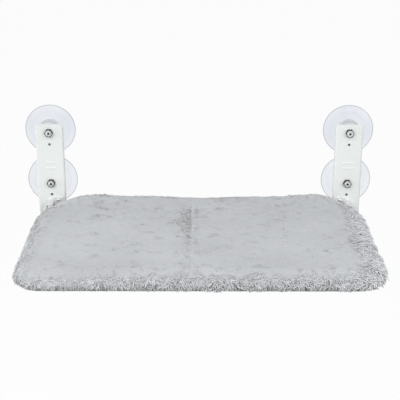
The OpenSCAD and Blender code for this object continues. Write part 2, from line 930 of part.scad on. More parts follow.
// Triangles that close ring k across its spine, seen from above or from below
function zip_cap(k, n, from_above) = [
    for (j = [0:n / 2 - 2])
        let (a = k * n + j, b = k * n + j + 1, c = k * n + n - 1 - j, d = k * n + n - 2 - j)
            each (from_above ? [[a, d, b], [a, c, d]] : [[a, b, d], [a, d, c]])
];

// Solid through a list of rings: capped at both ends, or joined round
module lofted(rings, joined) {
    n = len(rings[0]);
    m = len(rings);
    polyhedron(
        points = [for (r = rings) each r],
        faces = concat(
            [for (k = [0:m - 2]) each strip(k, k + 1, n)],
            joined ? strip(m - 1, 0, n) : concat(zip_cap(0, n, true), zip_cap(m - 1, n, false))
        )
    );
}

module foam_pad() {
    color([0.93, 0.92, 0.86])
        lofted(concat(
            [for (s = inner_top_shares) top_ring(pad_top_z, s)],
            [level_ring(upper_roll, pad_top_z, 1),
             level_ring(pad_shoulder_inset, pad_top_z - pad_shoulder_drop, 1 / 2),
             level_ring(pad_bevel_inset, pad_top_z - pad_bevel_drop, 0),
             level_ring(pad_edge_inset, pad_z, 0)]
        ), false);
}

// Plush cover: outer skin from its top's middle to the hem, then the inner skin back again
module plush_cover() {
    inner_top_z = cover_top_z - cover_t;
    color([0.74, 0.75, 0.77])
        difference() {
            lofted(concat(
                [for (s = outer_top_shares) top_ring(cover_top_z, s)],
                [for (i = [0:outer_roll_steps])
                    roll_ring((1 / 2 - i / outer_roll_steps) * half_turn, 0, 0, 0)],
                [for (z = [cover_bottom_z, cover_bottom_z + skirt_t]) level_ring(hem_reach, z, 0)],
                [for (i = [0:inner_roll_steps])
                    roll_ring((i / inner_roll_steps - 1 / 2) * half_turn, cover_t, cover_t, skirt_t)],
                [for (i = [len(inner_top_shares) - 1:-1:0]) top_ring(inner_top_z, inner_top_shares[i])]
            ), false);
            for (side = [LEFT, RIGHT])
                arm_slit(side);
        }
}

// Slit in the cover's rear corner where an arm comes out
module arm_slit(side) {
    w = arm_t + 2 * slit_gap;
    h = arm_h + 2 * slit_gap;
    translate([side * clevis_x - w / 2, pivot_y - clevis_ear_r - slit_l, pivot_z - h / 2])
        cube([w, slit_l, h]);
}

// Flat elastic sewn along the skirt's inner edge
module hem_elastic() {
    bottom = cover_bottom_z + (skirt_t - elastic_t) / 2;
    inner = hem_reach + elastic_w;
    color([0.35, 0.36, 0.38])
        lofted([
            level_ring(hem_reach, bottom, 0),
            level_ring(inner, bottom, 0),
            level_ring(inner, bottom + elastic_t, 0),
            level_ring(hem_reach, bottom + elastic_t, 0)
        ], true);
}

wall_bracket_at(LEFT);  // wall_bracket_left
wall_bracket_at(RIGHT);  // wall_bracket_right
suction_cup_at(LEFT, UPPER);  // suction_cup_upper_left
suction_cup_at(RIGHT, UPPER);  // suction_cup_upper_right
suction_cup_at(LEFT, LOWER);  // suction_cup_lower_left
suction_cup_at(RIGHT, LOWER);  // suction_cup_lower_right
cup_studs();
cup_nuts();
hinge_clevis(LEFT);  // hinge_clevis_left
hinge_clevis(RIGHT);  // hinge_clevis_right
clevis_rivets();
pivot_pin(LEFT);  // pivot_pin_left
pivot_pin(RIGHT);  // pivot_pin_right
foot_pad(LEFT);  // foot_pad_left
foot_pad(RIGHT);  // foot_pad_right
foot_screws();
hinge_arm(LEFT);  // hinge_arm_left
hinge_arm(RIGHT);  // hinge_arm_right
pivot_bush(LEFT);  // pivot_bush_left
pivot_bush(RIGHT);  // pivot_bush_right
thrust_washers();
front_frame_tube();
rear_frame_tube();
frame_joint_screws();
arm_bolts();
arm_nuts();
canvas_deck();
deck_tabs();
foam_pad();
plush_cover();
hem_elastic();
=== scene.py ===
"""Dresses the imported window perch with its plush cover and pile, canvas, clear cups and painted steel."""

import json
import math
from types import SimpleNamespace

import bmesh
import bpy
import numpy as np
from mathutils import Matrix, Vector
from mathutils.kdtree import KDTree


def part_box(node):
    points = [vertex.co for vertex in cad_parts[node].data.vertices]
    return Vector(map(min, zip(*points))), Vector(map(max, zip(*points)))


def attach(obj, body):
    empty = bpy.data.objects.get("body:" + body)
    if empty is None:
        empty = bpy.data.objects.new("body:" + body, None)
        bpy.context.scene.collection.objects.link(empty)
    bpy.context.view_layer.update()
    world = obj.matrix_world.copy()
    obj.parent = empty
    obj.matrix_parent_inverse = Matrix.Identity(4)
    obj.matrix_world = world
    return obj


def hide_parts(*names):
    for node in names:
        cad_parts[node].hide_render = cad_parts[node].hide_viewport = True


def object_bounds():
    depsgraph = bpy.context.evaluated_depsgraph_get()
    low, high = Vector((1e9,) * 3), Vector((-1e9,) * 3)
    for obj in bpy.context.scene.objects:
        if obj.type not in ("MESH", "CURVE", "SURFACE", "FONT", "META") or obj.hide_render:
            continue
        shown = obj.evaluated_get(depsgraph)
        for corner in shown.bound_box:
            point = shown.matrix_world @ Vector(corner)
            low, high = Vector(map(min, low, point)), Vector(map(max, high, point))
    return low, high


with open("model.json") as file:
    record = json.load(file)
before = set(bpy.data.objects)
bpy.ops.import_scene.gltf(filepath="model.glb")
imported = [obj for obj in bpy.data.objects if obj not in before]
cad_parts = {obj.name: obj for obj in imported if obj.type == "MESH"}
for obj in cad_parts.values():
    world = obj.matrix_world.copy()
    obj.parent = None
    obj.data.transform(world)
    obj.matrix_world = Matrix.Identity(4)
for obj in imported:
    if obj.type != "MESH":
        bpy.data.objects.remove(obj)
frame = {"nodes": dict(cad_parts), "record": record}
cad_low, cad_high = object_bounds()

MM = 0.001
BED = "bed"
WALL_SIDE = "wall_side"

# Bed sizes, in metres, as the CAD has them
BED_LOW, BED_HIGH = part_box("plush_cover")
REAR_CORNER_R = 100 * MM
FRONT_CORNER_R = 36 * MM
UPPER_ROLL = 18 * MM
LOWER_ROLL = 16 * MM
SIDE_DRAW_IN = 2 * MM
CROWN = 1.5 * MM
HEM_REACH = 40 * MM
CREASE_LEFT_X = -42 * MM
CREASE_X = -15 * MM
CREASE_FLAT = 2 * MM
CREASE_RIGHT_X = -7 * MM
CREASE_DEPTH = 2.4 * MM
SHOULDER_RISE = 2.8 * MM

# How far the woven backing lies inside the CAD cover: the pile fills the rest
TOP_INSET = 0.8 * MM
SIDE_INSET = 1.5 * MM
UNDER_INSET = 1.4 * MM
SKIN_T = 1 * MM
SWELL = 2.5 * MM
SWELL_CAP = 3.6 * MM

BED_HALF_W = max(-BED_LOW.x, BED_HIGH.x)
BED_BACK_Y = BED_HIGH.y
BED_FRONT_Y = BED_LOW.y
BED_MID_Y = (BED_BACK_Y + BED_FRONT_Y) / 2
BED_HALF_D = (BED_BACK_Y - BED_FRONT_Y) / 2
COVER_TOP_Z = BED_HIGH.z - CROWN
COVER_BOTTOM_Z = BED_LOW.z
LEFT_FULLNESS = 2.3 * MM

# Axes of the cups, their nuts and the spare holes, as distances from the brackets' middle lines
CUP_LOW, CUP_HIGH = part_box("suction_cup_upper_right")
CUP_X = (CUP_LOW.x + CUP_HIGH.x) / 2
CUP_Z = (CUP_LOW.z + CUP_HIGH.z) / 2
CUP_R = (CUP_HIGH.x - CUP_LOW.x) / 2
SPARE_HOLE_DROP = 18.8 * MM
SPARE_HOLE_R = 2.1 * MM
PLATE_FRONT_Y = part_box("wall_bracket_right")[0].y


def assign(target, **values):
    for key, value in values.items():
        setattr(target, key, value)
    return target


def node_group(material):
    """The material's node tree with only an output, ready to be filled."""
    material.use_nodes = True
    tree = material.node_tree
    tree.nodes.clear()
    output = tree.nodes.new("ShaderNodeOutputMaterial")
    return tree, output


WHITE = (1.0, 1.0, 1.0)

# Radians per metre that a wave texture turns at scale 1
WAVE_RADIANS = 20


class Shader:
    """One procedural material: a Principled shader and the nodes that drive it."""

    def __init__(self, name, color, roughness, **sockets):
        self.material = bpy.data.materials.new(name)
        self.tree, self.output = node_group(self.material)
        self.bsdf = self.add("ShaderNodeBsdfPrincipled")
        self.link(self.bsdf.outputs[0], self.output, "Surface")
        self.set(self.bsdf, "Base Color", (*color, 1))
        self.set(self.bsdf, "Roughness", roughness)
        for socket, value in sockets.items():
            self.set(self.bsdf, socket.replace("_", " "), value)
        self.place = self.add("ShaderNodeTexCoord").outputs["Object"]

    def add(self, kind, **properties):
        return assign(self.tree.nodes.new(kind), **properties)

    def set(self, node, socket, value):
        node.inputs[socket].default_value = value

    def link(self, source, node, socket):
        self.tree.links.new(source, node.inputs[socket])

    def noise(self, scale, detail=2.0, stretch=(1, 1, 1)):
        """Noise over the object's own coordinates, scale in features per metre."""
        mapping = self.add("ShaderNodeMapping")
        self.set(mapping, "Scale", stretch)
        self.link(self.place, mapping, "Vector")
        texture = self.add("ShaderNodeTexNoise")
        self.set(texture, "Scale", scale)
        self.set(texture, "Detail", detail)
        self.link(mapping.outputs[0], texture, "Vector")
        return texture.outputs["Fac"]

    def waves(self, scale, axis):
        """Even bands across an axis, scale in bands per metre."""
        texture = self.add("ShaderNodeTexWave", bands_direction=axis)
        self.set(texture, "Scale", scale / WAVE_RADIANS * 2 * math.pi)
        self.link(self.place, texture, "Vector")
        return texture.outputs["Fac"]

    def math(self, operation, *values):
        """One sum of the shader's: each value is a socket or a number."""
        node = self.add("ShaderNodeMath", operation=operation)
        for i, value in enumerate(values):
            if isinstance(value, (int, float)):
                self.set(node, i, value)
            else:
                self.link(value, node, i)
        return node.outputs[0]

    def cup_radius(self):
        """Distance from the nearest cup's axis."""
        parts = self.add("ShaderNodeSeparateXYZ")
        self.link(self.place, parts, "Vector")
        x = self.math("SUBTRACT", self.math("ABSOLUTE", parts.outputs["X"]), CUP_X)
        z = self.math("SUBTRACT", self.math("ABSOLUTE", parts.outputs["Z"]), CUP_Z)
        return self.math("SQRT", self.math("ADD", self.math("MULTIPLY", x, x), self.math("MULTIPLY", z, z)))

    def product(self, first, second):
        """Two colours multiplied."""
        node = self.add("ShaderNodeMix", data_type="RGBA", blend_type="MULTIPLY")
        self.set(node, 0, 1.0)
        self.link(first, node, 6)
        self.link(second, node, 7)
        return node.outputs[2]

    def spread(self, source, low, high, from_low=0.3, from_high=0.7):
        """Maps a value from one range to another."""
        node = self.add("ShaderNodeMapRange")
        self.link(source, node, "Value")
        limits = {"From Min": from_low, "From Max": from_high, "To Min": low, "To Max": high}
        for socket, value in limits.items():
            self.set(node, socket, value)
        return node.outputs[0]

    def colors(self, source, *stops):
        """Colours along a value from 0 to 1. A stop is (position, colour)."""
        ramp = self.add("ShaderNodeValToRGB")
        self.link(source, ramp, "Fac")
        elements = ramp.color_ramp.elements
        while len(elements) < len(stops):
            elements.new(0.5)
        for element, (position, color) in zip(elements, stops):
            element.position = position
            element.color = (*color, 1)
        return ramp.outputs["Color"]

    def mottle(self, source, color, dark, light, low=0.3, high=0.7):
        """A colour that varies between two shades of itself along a value."""
        return self.colors(source, (low, shade(color, dark)), (high, shade(color, light)))

    def paint(self, color):
        self.link(color, self.bsdf, "Base Color")

    def gloss(self, source, low, high):
        """Uneven roughness along a value."""
        self.link(self.spread(source, low, high), self.bsdf, "Roughness")

    def bump(self, source, strength, distance):
        """Raises the surface along a value."""
        node = self.add("ShaderNodeBump")
        self.set(node, "Strength", strength)
        self.set(node, "Distance", distance)
        self.link(source, node, "Height")
        self.link(node.outputs[0], self.bsdf, "Normal")


def shade(color, factor):
    return tuple(min(1.0, c * factor) for c in color)


def powder_coat(name, color):
    """Smooth powder coated steel: faint orange peel and slightly uneven gloss."""
    s = Shader(name, color, 0.4, Coat_Weight=0.15, Coat_Roughness=0.25)
    s.paint(s.mottle(s.noise(9), color, 0.985, 1.015))
    s.gloss(s.noise(60, 3), 0.34, 0.46)
    s.bump(s.noise(700, 2), 0.12, 0.1 * MM)
    return s.material


def zinc(name, color):
    """Zinc plated steel: crystal mottle and fine turned scratches."""
    s = Shader(name, color, 0.3, Metallic=1.0)
    s.paint(s.mottle(s.noise(400, 4), color, 0.85, 1.1))
    s.gloss(s.noise(900, 3), 0.22, 0.42)
    s.bump(s.noise(1500, 2), 0.1, 0.05 * MM)
    return s.material


# Painted shade and reflection round the cup studs: black in the middle of each stud's end and on each nut's
# chamfer and flats, grey where stud meets nut
RINGS_R = 6.83 * MM
SHADE_BLACK = (0.035, 0.035, 0.037)
SHADE_GREY = (0.08, 0.08, 0.08)
STUD_SHADE_RINGS = ((0.23, SHADE_BLACK), (0.29, WHITE), (0.43, WHITE), (0.47, shade(WHITE, 0.45)), (0.53, WHITE))
NUT_SHADE_RINGS = ((0.475, shade(WHITE, 0.45)), (0.5, WHITE), (0.68, WHITE), (0.74, SHADE_BLACK))


def ringed_steel(name, color, stops):
    """Zinc plated steel with painted shade and reflection in rings about each cup's axis, and a thread's
    ridges.
    """
    s = Shader(name, color, 0.38, Metallic=1.0)
    # Painted shade and reflection, in rings about the cup's axis
    rings = s.colors(s.spread(s.cup_radius(), 0, 1, 0, RINGS_R), *stops)
    s.paint(s.product(rings, s.mottle(s.noise(500, 4), color, 0.9, 1.15)))
    s.gloss(s.noise(900, 3), 0.3, 0.48)
    s.bump(s.waves(800, "Y"), 0.35, 0.2 * MM)
    return s.material


def hole_shade_steel(name):
    """Dark steel that lines a small hole: painted shade, so that the hole looks shaded inside."""
    s = Shader(name, SHADE_BLACK, 0.45, Metallic=0.6)
    # Painted shade: the eyelet's dark greys stand for the shade inside the hole
    s.paint(s.colors(s.noise(600, 3), (0.3, SHADE_BLACK), (0.7, SHADE_GREY)))
    s.bump(s.noise(1200, 2), 0.15, 0.05 * MM)
    return s.material


VINYL_LIGHT = (0.78, 0.815, 0.88)
VINYL_CLOUD = (0.62, 0.67, 0.77)

# Greys at shares of the cup's radius, painted shade: thin dark lines at its boss, its step and its rim
VINYL_SHADE_LINES = ((0.4, 1), (0.413, 0.25), (0.43, 0.25), (0.443, 1), (0.72, 1), (0.742, 0.87), (0.765, 1),
               (0.962, 1), (0.982, 0.3))


def clear_vinyl(name):
    """Clear soft vinyl, clouded a little by flow marks. Its boss, step and rim show as thin lines of painted
    shade.
    """
    s = Shader(name, VINYL_LIGHT, 0.05, Transmission_Weight=1.0, IOR=1.06,
               Alpha=0.5, Coat_Weight=0.5, Coat_Roughness=0.06)
    stops = [(share, shade(WHITE, grey)) for share, grey in VINYL_SHADE_LINES]
    # Painted shade: dark rings at the boss, the step and the rim
    lines = s.colors(s.spread(s.cup_radius(), 0, 1, 0, CUP_R), *stops)
    clouds = s.colors(s.noise(24, 2, (1, 1, 0.5)), (0.32, VINYL_CLOUD), (0.68, VINYL_LIGHT))
    s.paint(s.product(lines, clouds))
    s.bump(s.noise(45, 2), 0.03, 0.6 * MM)
    absorb = s.add("ShaderNodeVolumeAbsorption")
    s.set(absorb, "Color", (0.74, 0.775, 0.81, 1))
    s.set(absorb, "Density", 45)
    s.link(absorb.outputs[0], s.output, "Volume")
    return s.material


def rubber(name, color):
    s = Shader(name, color, 0.7)
    s.paint(s.mottle(s.noise(120, 3), color, 0.85, 1.25))
    s.bump(s.noise(1100, 3), 0.25, 0.15 * MM)
    return s.material


def nylon(name, color):
    s = Shader(name, color, 0.42)
    s.paint(s.mottle(s.noise(80), color, 0.96, 1))
    s.bump(s.noise(600, 2), 0.1, 0.08 * MM)
    return s.material


def canvas(name, color):
    """Plain weave canvas: warp and weft threads a millimetre apart, and uneven yarn."""
    s = Shader(name, color, 0.9, Sheen_Weight=0.25, Sheen_Roughness=0.6)
    threads = s.math("MULTIPLY", s.waves(1000, "X"), s.waves(1000, "Y"))
    yarn = s.mottle(s.noise(260, 4, (1, 6, 1)), color, 0.86, 1.12)
    s.paint(s.product(yarn, s.mottle(threads, WHITE, 0.72, 1, 0.0, 0.35)))
    s.bump(threads, 0.6, 0.35 * MM)
    return s.material


def webbing(name, color, axis):
    """Ribbed webbing: ribs across an axis and a coarse yarn."""
    s = Shader(name, color, 0.8, Sheen_Weight=0.2)
    s.paint(s.mottle(s.noise(500, 3), color, 0.8, 1.2))
    s.bump(s.waves(560, axis), 0.7, 0.4 * MM)
    return s.material


def open_foam(name, color):
    s = Shader(name, color, 0.95)
    s.paint(s.mottle(s.noise(700, 2), color, 0.7, 1, 0.35, 0.5))
    s.bump(s.noise(900, 2), 0.8, 0.6 * MM)
    return s.material


def plush_backing(name, color):
    """The dense pile's ground between the locks: fine fibres drawn out along X, and soft patches."""
    s = Shader(name, color, 0.95, Sheen_Weight=0.35, Sheen_Roughness=0.5)
    fibres = s.noise(420, 4, (0.35, 1, 1))
    patches = s.spread(s.noise(14, 2, (0.5, 1, 1)), 0.0, 0.4)
    s.paint(s.mottle(s.math("MULTIPLY_ADD", fibres, 0.6, patches), color, 0.9, 1.08, 0.25, 0.75))
    s.bump(fibres, 0.5, 0.8 * MM)
    return s.material


LIGHT_TONE = 0.785


def plush_pile(name, dark, light, lit_grey):
    """The locks: each vertex has its tone, from painted shade at its root to its tip. Tones above the plush's
    light grey run to a lighter grey, painted light.
    """
    s = Shader(name, light, 0.85, Sheen_Weight=0.3, Sheen_Roughness=0.5)
    tone = s.add("ShaderNodeAttribute", attribute_name="tone")
    s.paint(s.colors(tone.outputs["Fac"], (0.0, dark), (LIGHT_TONE, light), (1.0, lit_grey)))
    return s.material


# The pile's greys: its own, a dark grey for painted shade and a lighter grey for painted light
PLUSH = (0.52, 0.53, 0.545)
PLUSH_LIGHT = (0.66, 0.67, 0.687)
PLUSH_SHADE_GREY = (0.15, 0.152, 0.146)
PLUSH_LIT_GREY = (0.80, 0.81, 0.82)
MATERIALS = {
    "bracket_paint": powder_coat("bracket_paint", (0.84, 0.865, 0.84)),
    "hinge_paint": powder_coat("hinge_paint", (0.74, 0.75, 0.74)),
    "frame_paint": powder_coat("frame_paint", (0.80, 0.81, 0.80)),
    "zinc_steel": zinc("zinc_steel", (0.62, 0.62, 0.63)),
    "clear_vinyl": clear_vinyl("clear_vinyl"),
    "foot_rubber": rubber("foot_rubber", (0.06, 0.062, 0.065)),
    "nylon": nylon("nylon", (0.80, 0.79, 0.74)),
    "canvas": canvas("canvas", (0.42, 0.43, 0.45)),
    "webbing": webbing("webbing", (0.25, 0.26, 0.28), "Y"),
    "elastic": webbing("elastic", (0.16, 0.165, 0.175), "X"),
    "foam": open_foam("foam", (0.78, 0.76, 0.66)),
    "plush": plush_backing("plush", shade(PLUSH, 0.95)),
}
PILE = plush_pile("plush_pile", PLUSH_SHADE_GREY, PLUSH_LIGHT, PLUSH_LIT_GREY)
THREAD = webbing("thread", (0.34, 0.345, 0.36), "X")
OWN_MATERIALS = {
    "cup_nuts": ringed_steel("nut_steel", (0.66, 0.66, 0.67), NUT_SHADE_RINGS),
    "cup_studs": ringed_steel("stud_steel", (0.66, 0.66, 0.67), STUD_SHADE_RINGS),
}


def paint_cad_nodes():
    slots = {row["node"]: row["material_slot"] for row in frame["record"]["subparts"]}
    for name, node in frame["nodes"].items():
        node.data.materials.clear()
        node.data.materials.append(OWN_MATERIALS.get(name, MATERIALS[slots[name]]))


def put_in_scene(name, mesh, material):
    piece = bpy.data.objects.new(name, mesh)
    bpy.context.scene.collection.objects.link(piece)
    mesh.materials.clear()
    mesh.materials.append(material)
    return piece


def mesh_of(name, points, faces, smooth=True):
    """A mesh from points and faces, which may be numpy arrays."""
    mesh = bpy.data.meshes.new(name)
    mesh.from_pydata([tuple(p) for p in points], [], [tuple(f) for f in faces])
    if smooth:
        mesh.shade_smooth()
    return mesh


def applied(piece):
    """Applies every modifier of a piece to its mesh."""
    graph = bpy.context.evaluated_depsgraph_get()
    mesh = bpy.data.meshes.new_from_object(piece.evaluated_get(graph))
    piece.modifiers.clear()
    old = piece.data
    piece.data = mesh
    bpy.data.meshes.remove(old)
    return piece


def vertex_values(mesh, name):
    values = np.empty(len(mesh.vertices) * 3)
    mesh.vertices.foreach_get(name, values)
    return values.reshape(-1, 3)


def modified(piece, kind, **settings):
    """Gives a piece a modifier and applies it."""
    assign(piece.modifiers.new(kind.lower(), kind), **settings)
    return applied(piece)


def coordinates(mesh):
    return vertex_values(mesh, "co")


def floats(values):
    """An array as Blender takes it: flat, in single precision."""
    return np.ascontiguousarray(values, dtype=np.float32).ravel()


def set_coordinates(mesh, co):
    mesh.vertices.foreach_set("co", floats(co))
    mesh.update()


def vertex_normals(mesh):
    return vertex_values(mesh, "normal")


def soft_waves(points, seed, size, count=14):
    """Smooth noise around 0 from a sum of random waves: size is the features' rough length."""
    rng = np.random.default_rng(seed)
    directions = rng.normal(size=(count, 3))
    directions /= np.linalg.norm(directions, axis=1)[:, None]
    rates = 2 * math.pi / size * rng.uniform(0.5, 1.6, count)
    phases = rng.uniform(0, 2 * math.pi, count)
    return np.sin(points @ (directions * rates[:, None]).T + phases).sum(axis=1) / math.sqrt(count / 2)


def smooth_step(x, low, high):
    t = np.clip((x - low) / (high - low), 0, 1)
    return t * t * (3 - 2 * t)


def band(distance, edge, widths):
    """0 until a distance comes within the first width of an edge, and 1 from the second on."""
    start, full = widths
    return smooth_step(distance, edge - start, edge - full)


def bulge(share):
    """1 in the middle, where a share is 0, and 0 at both ends."""
    return np.clip(1 - share ** 2, 0, 1)


def bed_shares(co):
    """Places across and along the bed, from -1 to 1."""
    return co[:, 0] / BED_HALF_W, (co[:, 1] - BED_MID_Y) / BED_HALF_D


def tree_of(points):
    """A search tree over points in space."""
    tree = KDTree(len(points))
    for i, point in enumerate(points):
        tree.insert(point, i)
    tree.balance()
    return tree


CORNER_STEPS = 24
RUN_STEPS = 40


def corner(cx, cy, r, first):
    """A quarter circle from an angle in quarter turns."""
    angles = (first + np.linspace(0, 1, CORNER_STEPS)) * math.pi / 2
    return np.stack([cx + r * np.cos(angles), cy + r * np.sin(angles)], axis=1)


def plan_ring(inset):
    """The bed's outline at an inset, anticlockwise from the right side's back end."""
    w = BED_HALF_W - inset
    back = BED_BACK_Y - inset
    front = BED_FRONT_Y + inset
    rear_r = REAR_CORNER_R - inset
    front_r = max(FRONT_CORNER_R - inset, LOWER_ROLL / 2)
    corners = [
        corner(w - rear_r, back - rear_r, rear_r, 0),
        corner(rear_r - w, back - rear_r, rear_r, 1),
        corner(front_r - w, front + front_r, front_r, 2),
        corner(w - front_r, front + front_r, front_r, 3),
    ]
    runs = []
    for i, arc in enumerate(corners):
        following = corners[(i + 1) % len(corners)][0]
        shares = np.linspace(0, 1, RUN_STEPS)[1:-1, None]
        runs.append(arc)
        runs.append(arc[-1] + shares * (following - arc[-1]))
    ring = np.concatenate(runs)
    ring[:, 0] *= 1 - SIDE_DRAW_IN / BED_HALF_W * bulge(bed_shares(ring)[1])
    return ring


def grid_faces(rows, count, ring=True, looped=False, first=0):
    """Quads between rows of count points. Rows may be rings, and the last may meet the first."""
    faces = []
    for k in range(rows if looped else rows - 1):
        near = first + k * count
        far = first + (k + 1) % rows * count
        for j in range(count if ring else count - 1):
            following = (j + 1) % count
            faces.append((near + j, near + following, far + following, far + j))
    return faces


def at_height(ring, z):
    """A plan's points in space, at one height or at a height for each."""
    return np.column_stack([ring, np.broadcast_to(z, len(ring))])


def rolled_form(name, inset, top_z, bottom_z, steps=12):
    """A closed cushion form with a flat top and bottom and rolled edges."""
    mid = (top_z + bottom_z) / 2
    half = (top_z - bottom_z) / 2
    rings = []
    for angle in np.linspace(math.pi / 2, -math.pi / 2, 2 * steps + 1):
        roll = (UPPER_ROLL if angle > 0 else LOWER_ROLL) - inset
        ring = plan_ring(inset + roll * (1 - math.cos(angle)))
        rings.append(at_height(ring, mid + half * math.sin(angle)))
    return capped(name, rings)


def capped(name, rings):
    """A closed mesh from rings with equal numbers of points, with its ends filled."""
    count = len(rings[0])
    faces = grid_faces(len(rings), count)
    faces.append(tuple(range(count)))
    faces.append(tuple(range(len(rings) * count - 1, (len(rings) - 1) * count - 1, -1)))
    mesh = mesh_of(name, np.concatenate(rings), faces)
    work = bmesh.new()
    work.from_mesh(mesh)
    bmesh.ops.recalc_face_normals(work, faces=work.faces)
    work.to_mesh(mesh)
    work.free()
    return mesh


def remeshed(piece, voxel):
    return modified(piece, "REMESH", mode="VOXEL", voxel_size=voxel, use_smooth_shade=True)


# The cover's cloth in the simulation
CLOTH = {"quality": 5, "mass": 0.25, "tension_stiffness": 12, "compression_stiffness": 12,
         "shear_stiffness": 6, "bending_stiffness": 0.6, "use_pressure": True, "shrink_min": -0.012}

# The cover keeps this share of its slip along the surface in the simulation
DRIFT_KEPT = 0.3


def swell(piece, pressure, least, cap, pinned, frames=20):
    """Cloth simulation with air pressure inside: pad and frame hold the cover out by least, up to cap."""
    start = coordinates(piece.data).copy()
    normals = vertex_normals(piece.data).copy()
    group = piece.vertex_groups.new(name="pin")
    group.add([int(i) for i in np.nonzero(pinned(start))[0]], 1.0, "REPLACE")
    cloth = piece.modifiers.new("cloth", "CLOTH")
    assign(cloth.settings, **CLOTH, uniform_pressure_force=pressure, vertex_group_mass=group.name)
    cloth.settings.effector_weights.gravity = 0
    scene = bpy.context.scene
    for timed in (scene, cloth.point_cache):
        assign(timed, frame_start=1, frame_end=frames)
    for number in range(1, frames + 1):
        scene.frame_set(number)
    applied(piece)
    moved = coordinates(piece.data) - start
    outward = (moved * normals).sum(axis=1)
    along = moved - normals * outward[:, None]
    outward = np.clip(outward, least * held_out(start, normals, pinned), cap)
    set_coordinates(piece.data, start + normals * outward[:, None] + along * DRIFT_KEPT)
    scene.frame_set(1)
    piece.vertex_groups.clear()


def held_out(co, normals, pinned):
    """How far pad and frame hold each free point out, from 0 to 1: less under the lower roll."""
    return ~pinned(co) * (1 - smooth_step(-normals[:, 2], 0.05, 0.7))


def crease(co):
    """How deep in the crease each point lies. It falls slowly from the left and rises quickly."""
    x = co[:, 0]
    v = bed_shares(co)[1]
    valley = smooth_step(x, CREASE_LEFT_X, CREASE_X)
    valley *= 1 - smooth_step(x, CREASE_X + CREASE_FLAT, CREASE_RIGHT_X)
    return valley * (1 - smooth_step(v, 0.45, 0.75)) * (0.45 + 0.55 * smooth_step(v, -0.7, 0.5))


def crown_form(co):
    """Height that the pad's crown adds."""
    u, v = bed_shares(co)
    return CROWN * bulge(u) * bulge(v)


def top_form(co):
    """Height that the crown and the rear shoulders add and the crease takes away."""
    u, v = bed_shares(co)
    shoulders = np.exp(-((np.abs(u) - 0.6) / 0.26) ** 2) * smooth_step(v, 0.1, 0.8)
    return crown_form(co) + SHOULDER_RISE * shoulders - CREASE_DEPTH * crease(co)


# The rear corners stand fuller than the frame under them, the right one most
REAR_CORNERS = ((-182 * MM, 3 * MM), (190 * MM, 6.5 * MM))
CORNER_PUFF_R = 36 * MM
CORNER_PUFF_INSET = 24 * MM
CORNER_PUFF_Z = (COVER_BOTTOM_Z + 12 * MM, COVER_BOTTOM_Z + 22 * MM)


def corner_puff(co):
    """How far the cover swells at its rear corners, above its middle height."""
    puff = np.zeros(len(co))
    for x, rise in REAR_CORNERS:
        away = np.hypot(co[:, 0] - x, co[:, 1] - (BED_BACK_Y - CORNER_PUFF_INSET))
        puff += rise * np.exp(-(away / CORNER_PUFF_R) ** 2)
    return puff * smooth_step(co[:, 2], *CORNER_PUFF_Z)


SKIN_VOXEL = 5 * MM
AIR_PRESSURE = 4


def plush_skin():
    """The cover's backing: swollen over pad and frame, open underneath inside its hem."""
    top_z = COVER_TOP_Z - TOP_INSET - SWELL
    bottom_z = COVER_BOTTOM_Z + UNDER_INSET
    mesh = rolled_form("plush_skin", SIDE_INSET + SWELL, top_z, bottom_z)
    piece = put_in_scene("plush_skin", mesh, MATERIALS["plush"])
    remeshed(piece, SKIN_VOXEL)
    swell(piece, AIR_PRESSURE, SWELL * 0.95, SWELL_CAP, rests)
    modified(piece, "SUBSURF", levels=1, render_levels=1)
    normals = vertex_normals(piece.data)
    co = coordinates(piece.data)
    co += normals * corner_puff(co)[:, None]
    up = smooth_step(normals[:, 2], 0.2, 0.9)
    wrinkles = soft_waves(co * (0.5, 1.6, 1), 5, 70 * MM) * 0.3 + soft_waves(co, 6, 28 * MM) * 0.12
    co[:, 2] += up * (top_form(co) + wrinkles * MM)
    along = bulge(bed_shares(co)[1])
    co[:, 0] -= LEFT_FULLNESS * along * smooth_step(-co[:, 0], BED_HALF_W / 2, BED_HALF_W)
    co[:, 2] += skirt_gathers(co) * smooth_step(-normals[:, 2], 0.5, 0.95)
    set_coordinates(piece.data, co)
    open_hem(piece)
    return piece


# The folds in the skirt: their lengths round the hem, where they start and how near the corners they deepen
GATHER_POINTS = 1200
GATHER_L = 13 * MM
GATHER_DRIFT_L = 61 * MM
GATHER_START = 10 * MM
GATHER_CORNER_X = (110 * MM, 50 * MM)
GATHER_CORNER_Y = (100 * MM, 45 * MM)
SKIRT_H = 8 * MM


def skirt_gathers(co):
    """Height of the folds that the elastic gathers in the skirt, deepest at the corners."""
    ring = resampled(plan_ring(HEM_REACH * 0.6), GATHER_POINTS)
    tree = tree_of(at_height(ring, 0))
    under = np.nonzero(co[:, 2] < COVER_BOTTOM_Z + SKIRT_H)[0]
    place = np.array([tree.find((co[i, 0], co[i, 1], 0))[1] for i in under])
    around = np.linalg.norm(ring[0] - ring[1]) * place
    inward = smooth_step(-beyond_outline(co[under]), GATHER_START, HEM_REACH)
    corner = band(np.abs(co[under, 0]), BED_HALF_W, GATHER_CORNER_X)
    corner *= band(np.abs(co[under, 1] - BED_MID_Y), BED_HALF_D, GATHER_CORNER_Y)
    drift = 1.5 * np.sin(around * 2 * math.pi / GATHER_DRIFT_L)
    fold = np.sin(around * 2 * math.pi / GATHER_L + drift)
    height = np.zeros(len(co))
    height[under] = (1 + fold) * mix(0.25, 0.8, corner) * inward * MM
    return height


def rests(co):
    """Which points lie on the cover's flat underside."""
    return co[:, 2] < COVER_BOTTOM_Z + UNDER_INSET + 1 * MM


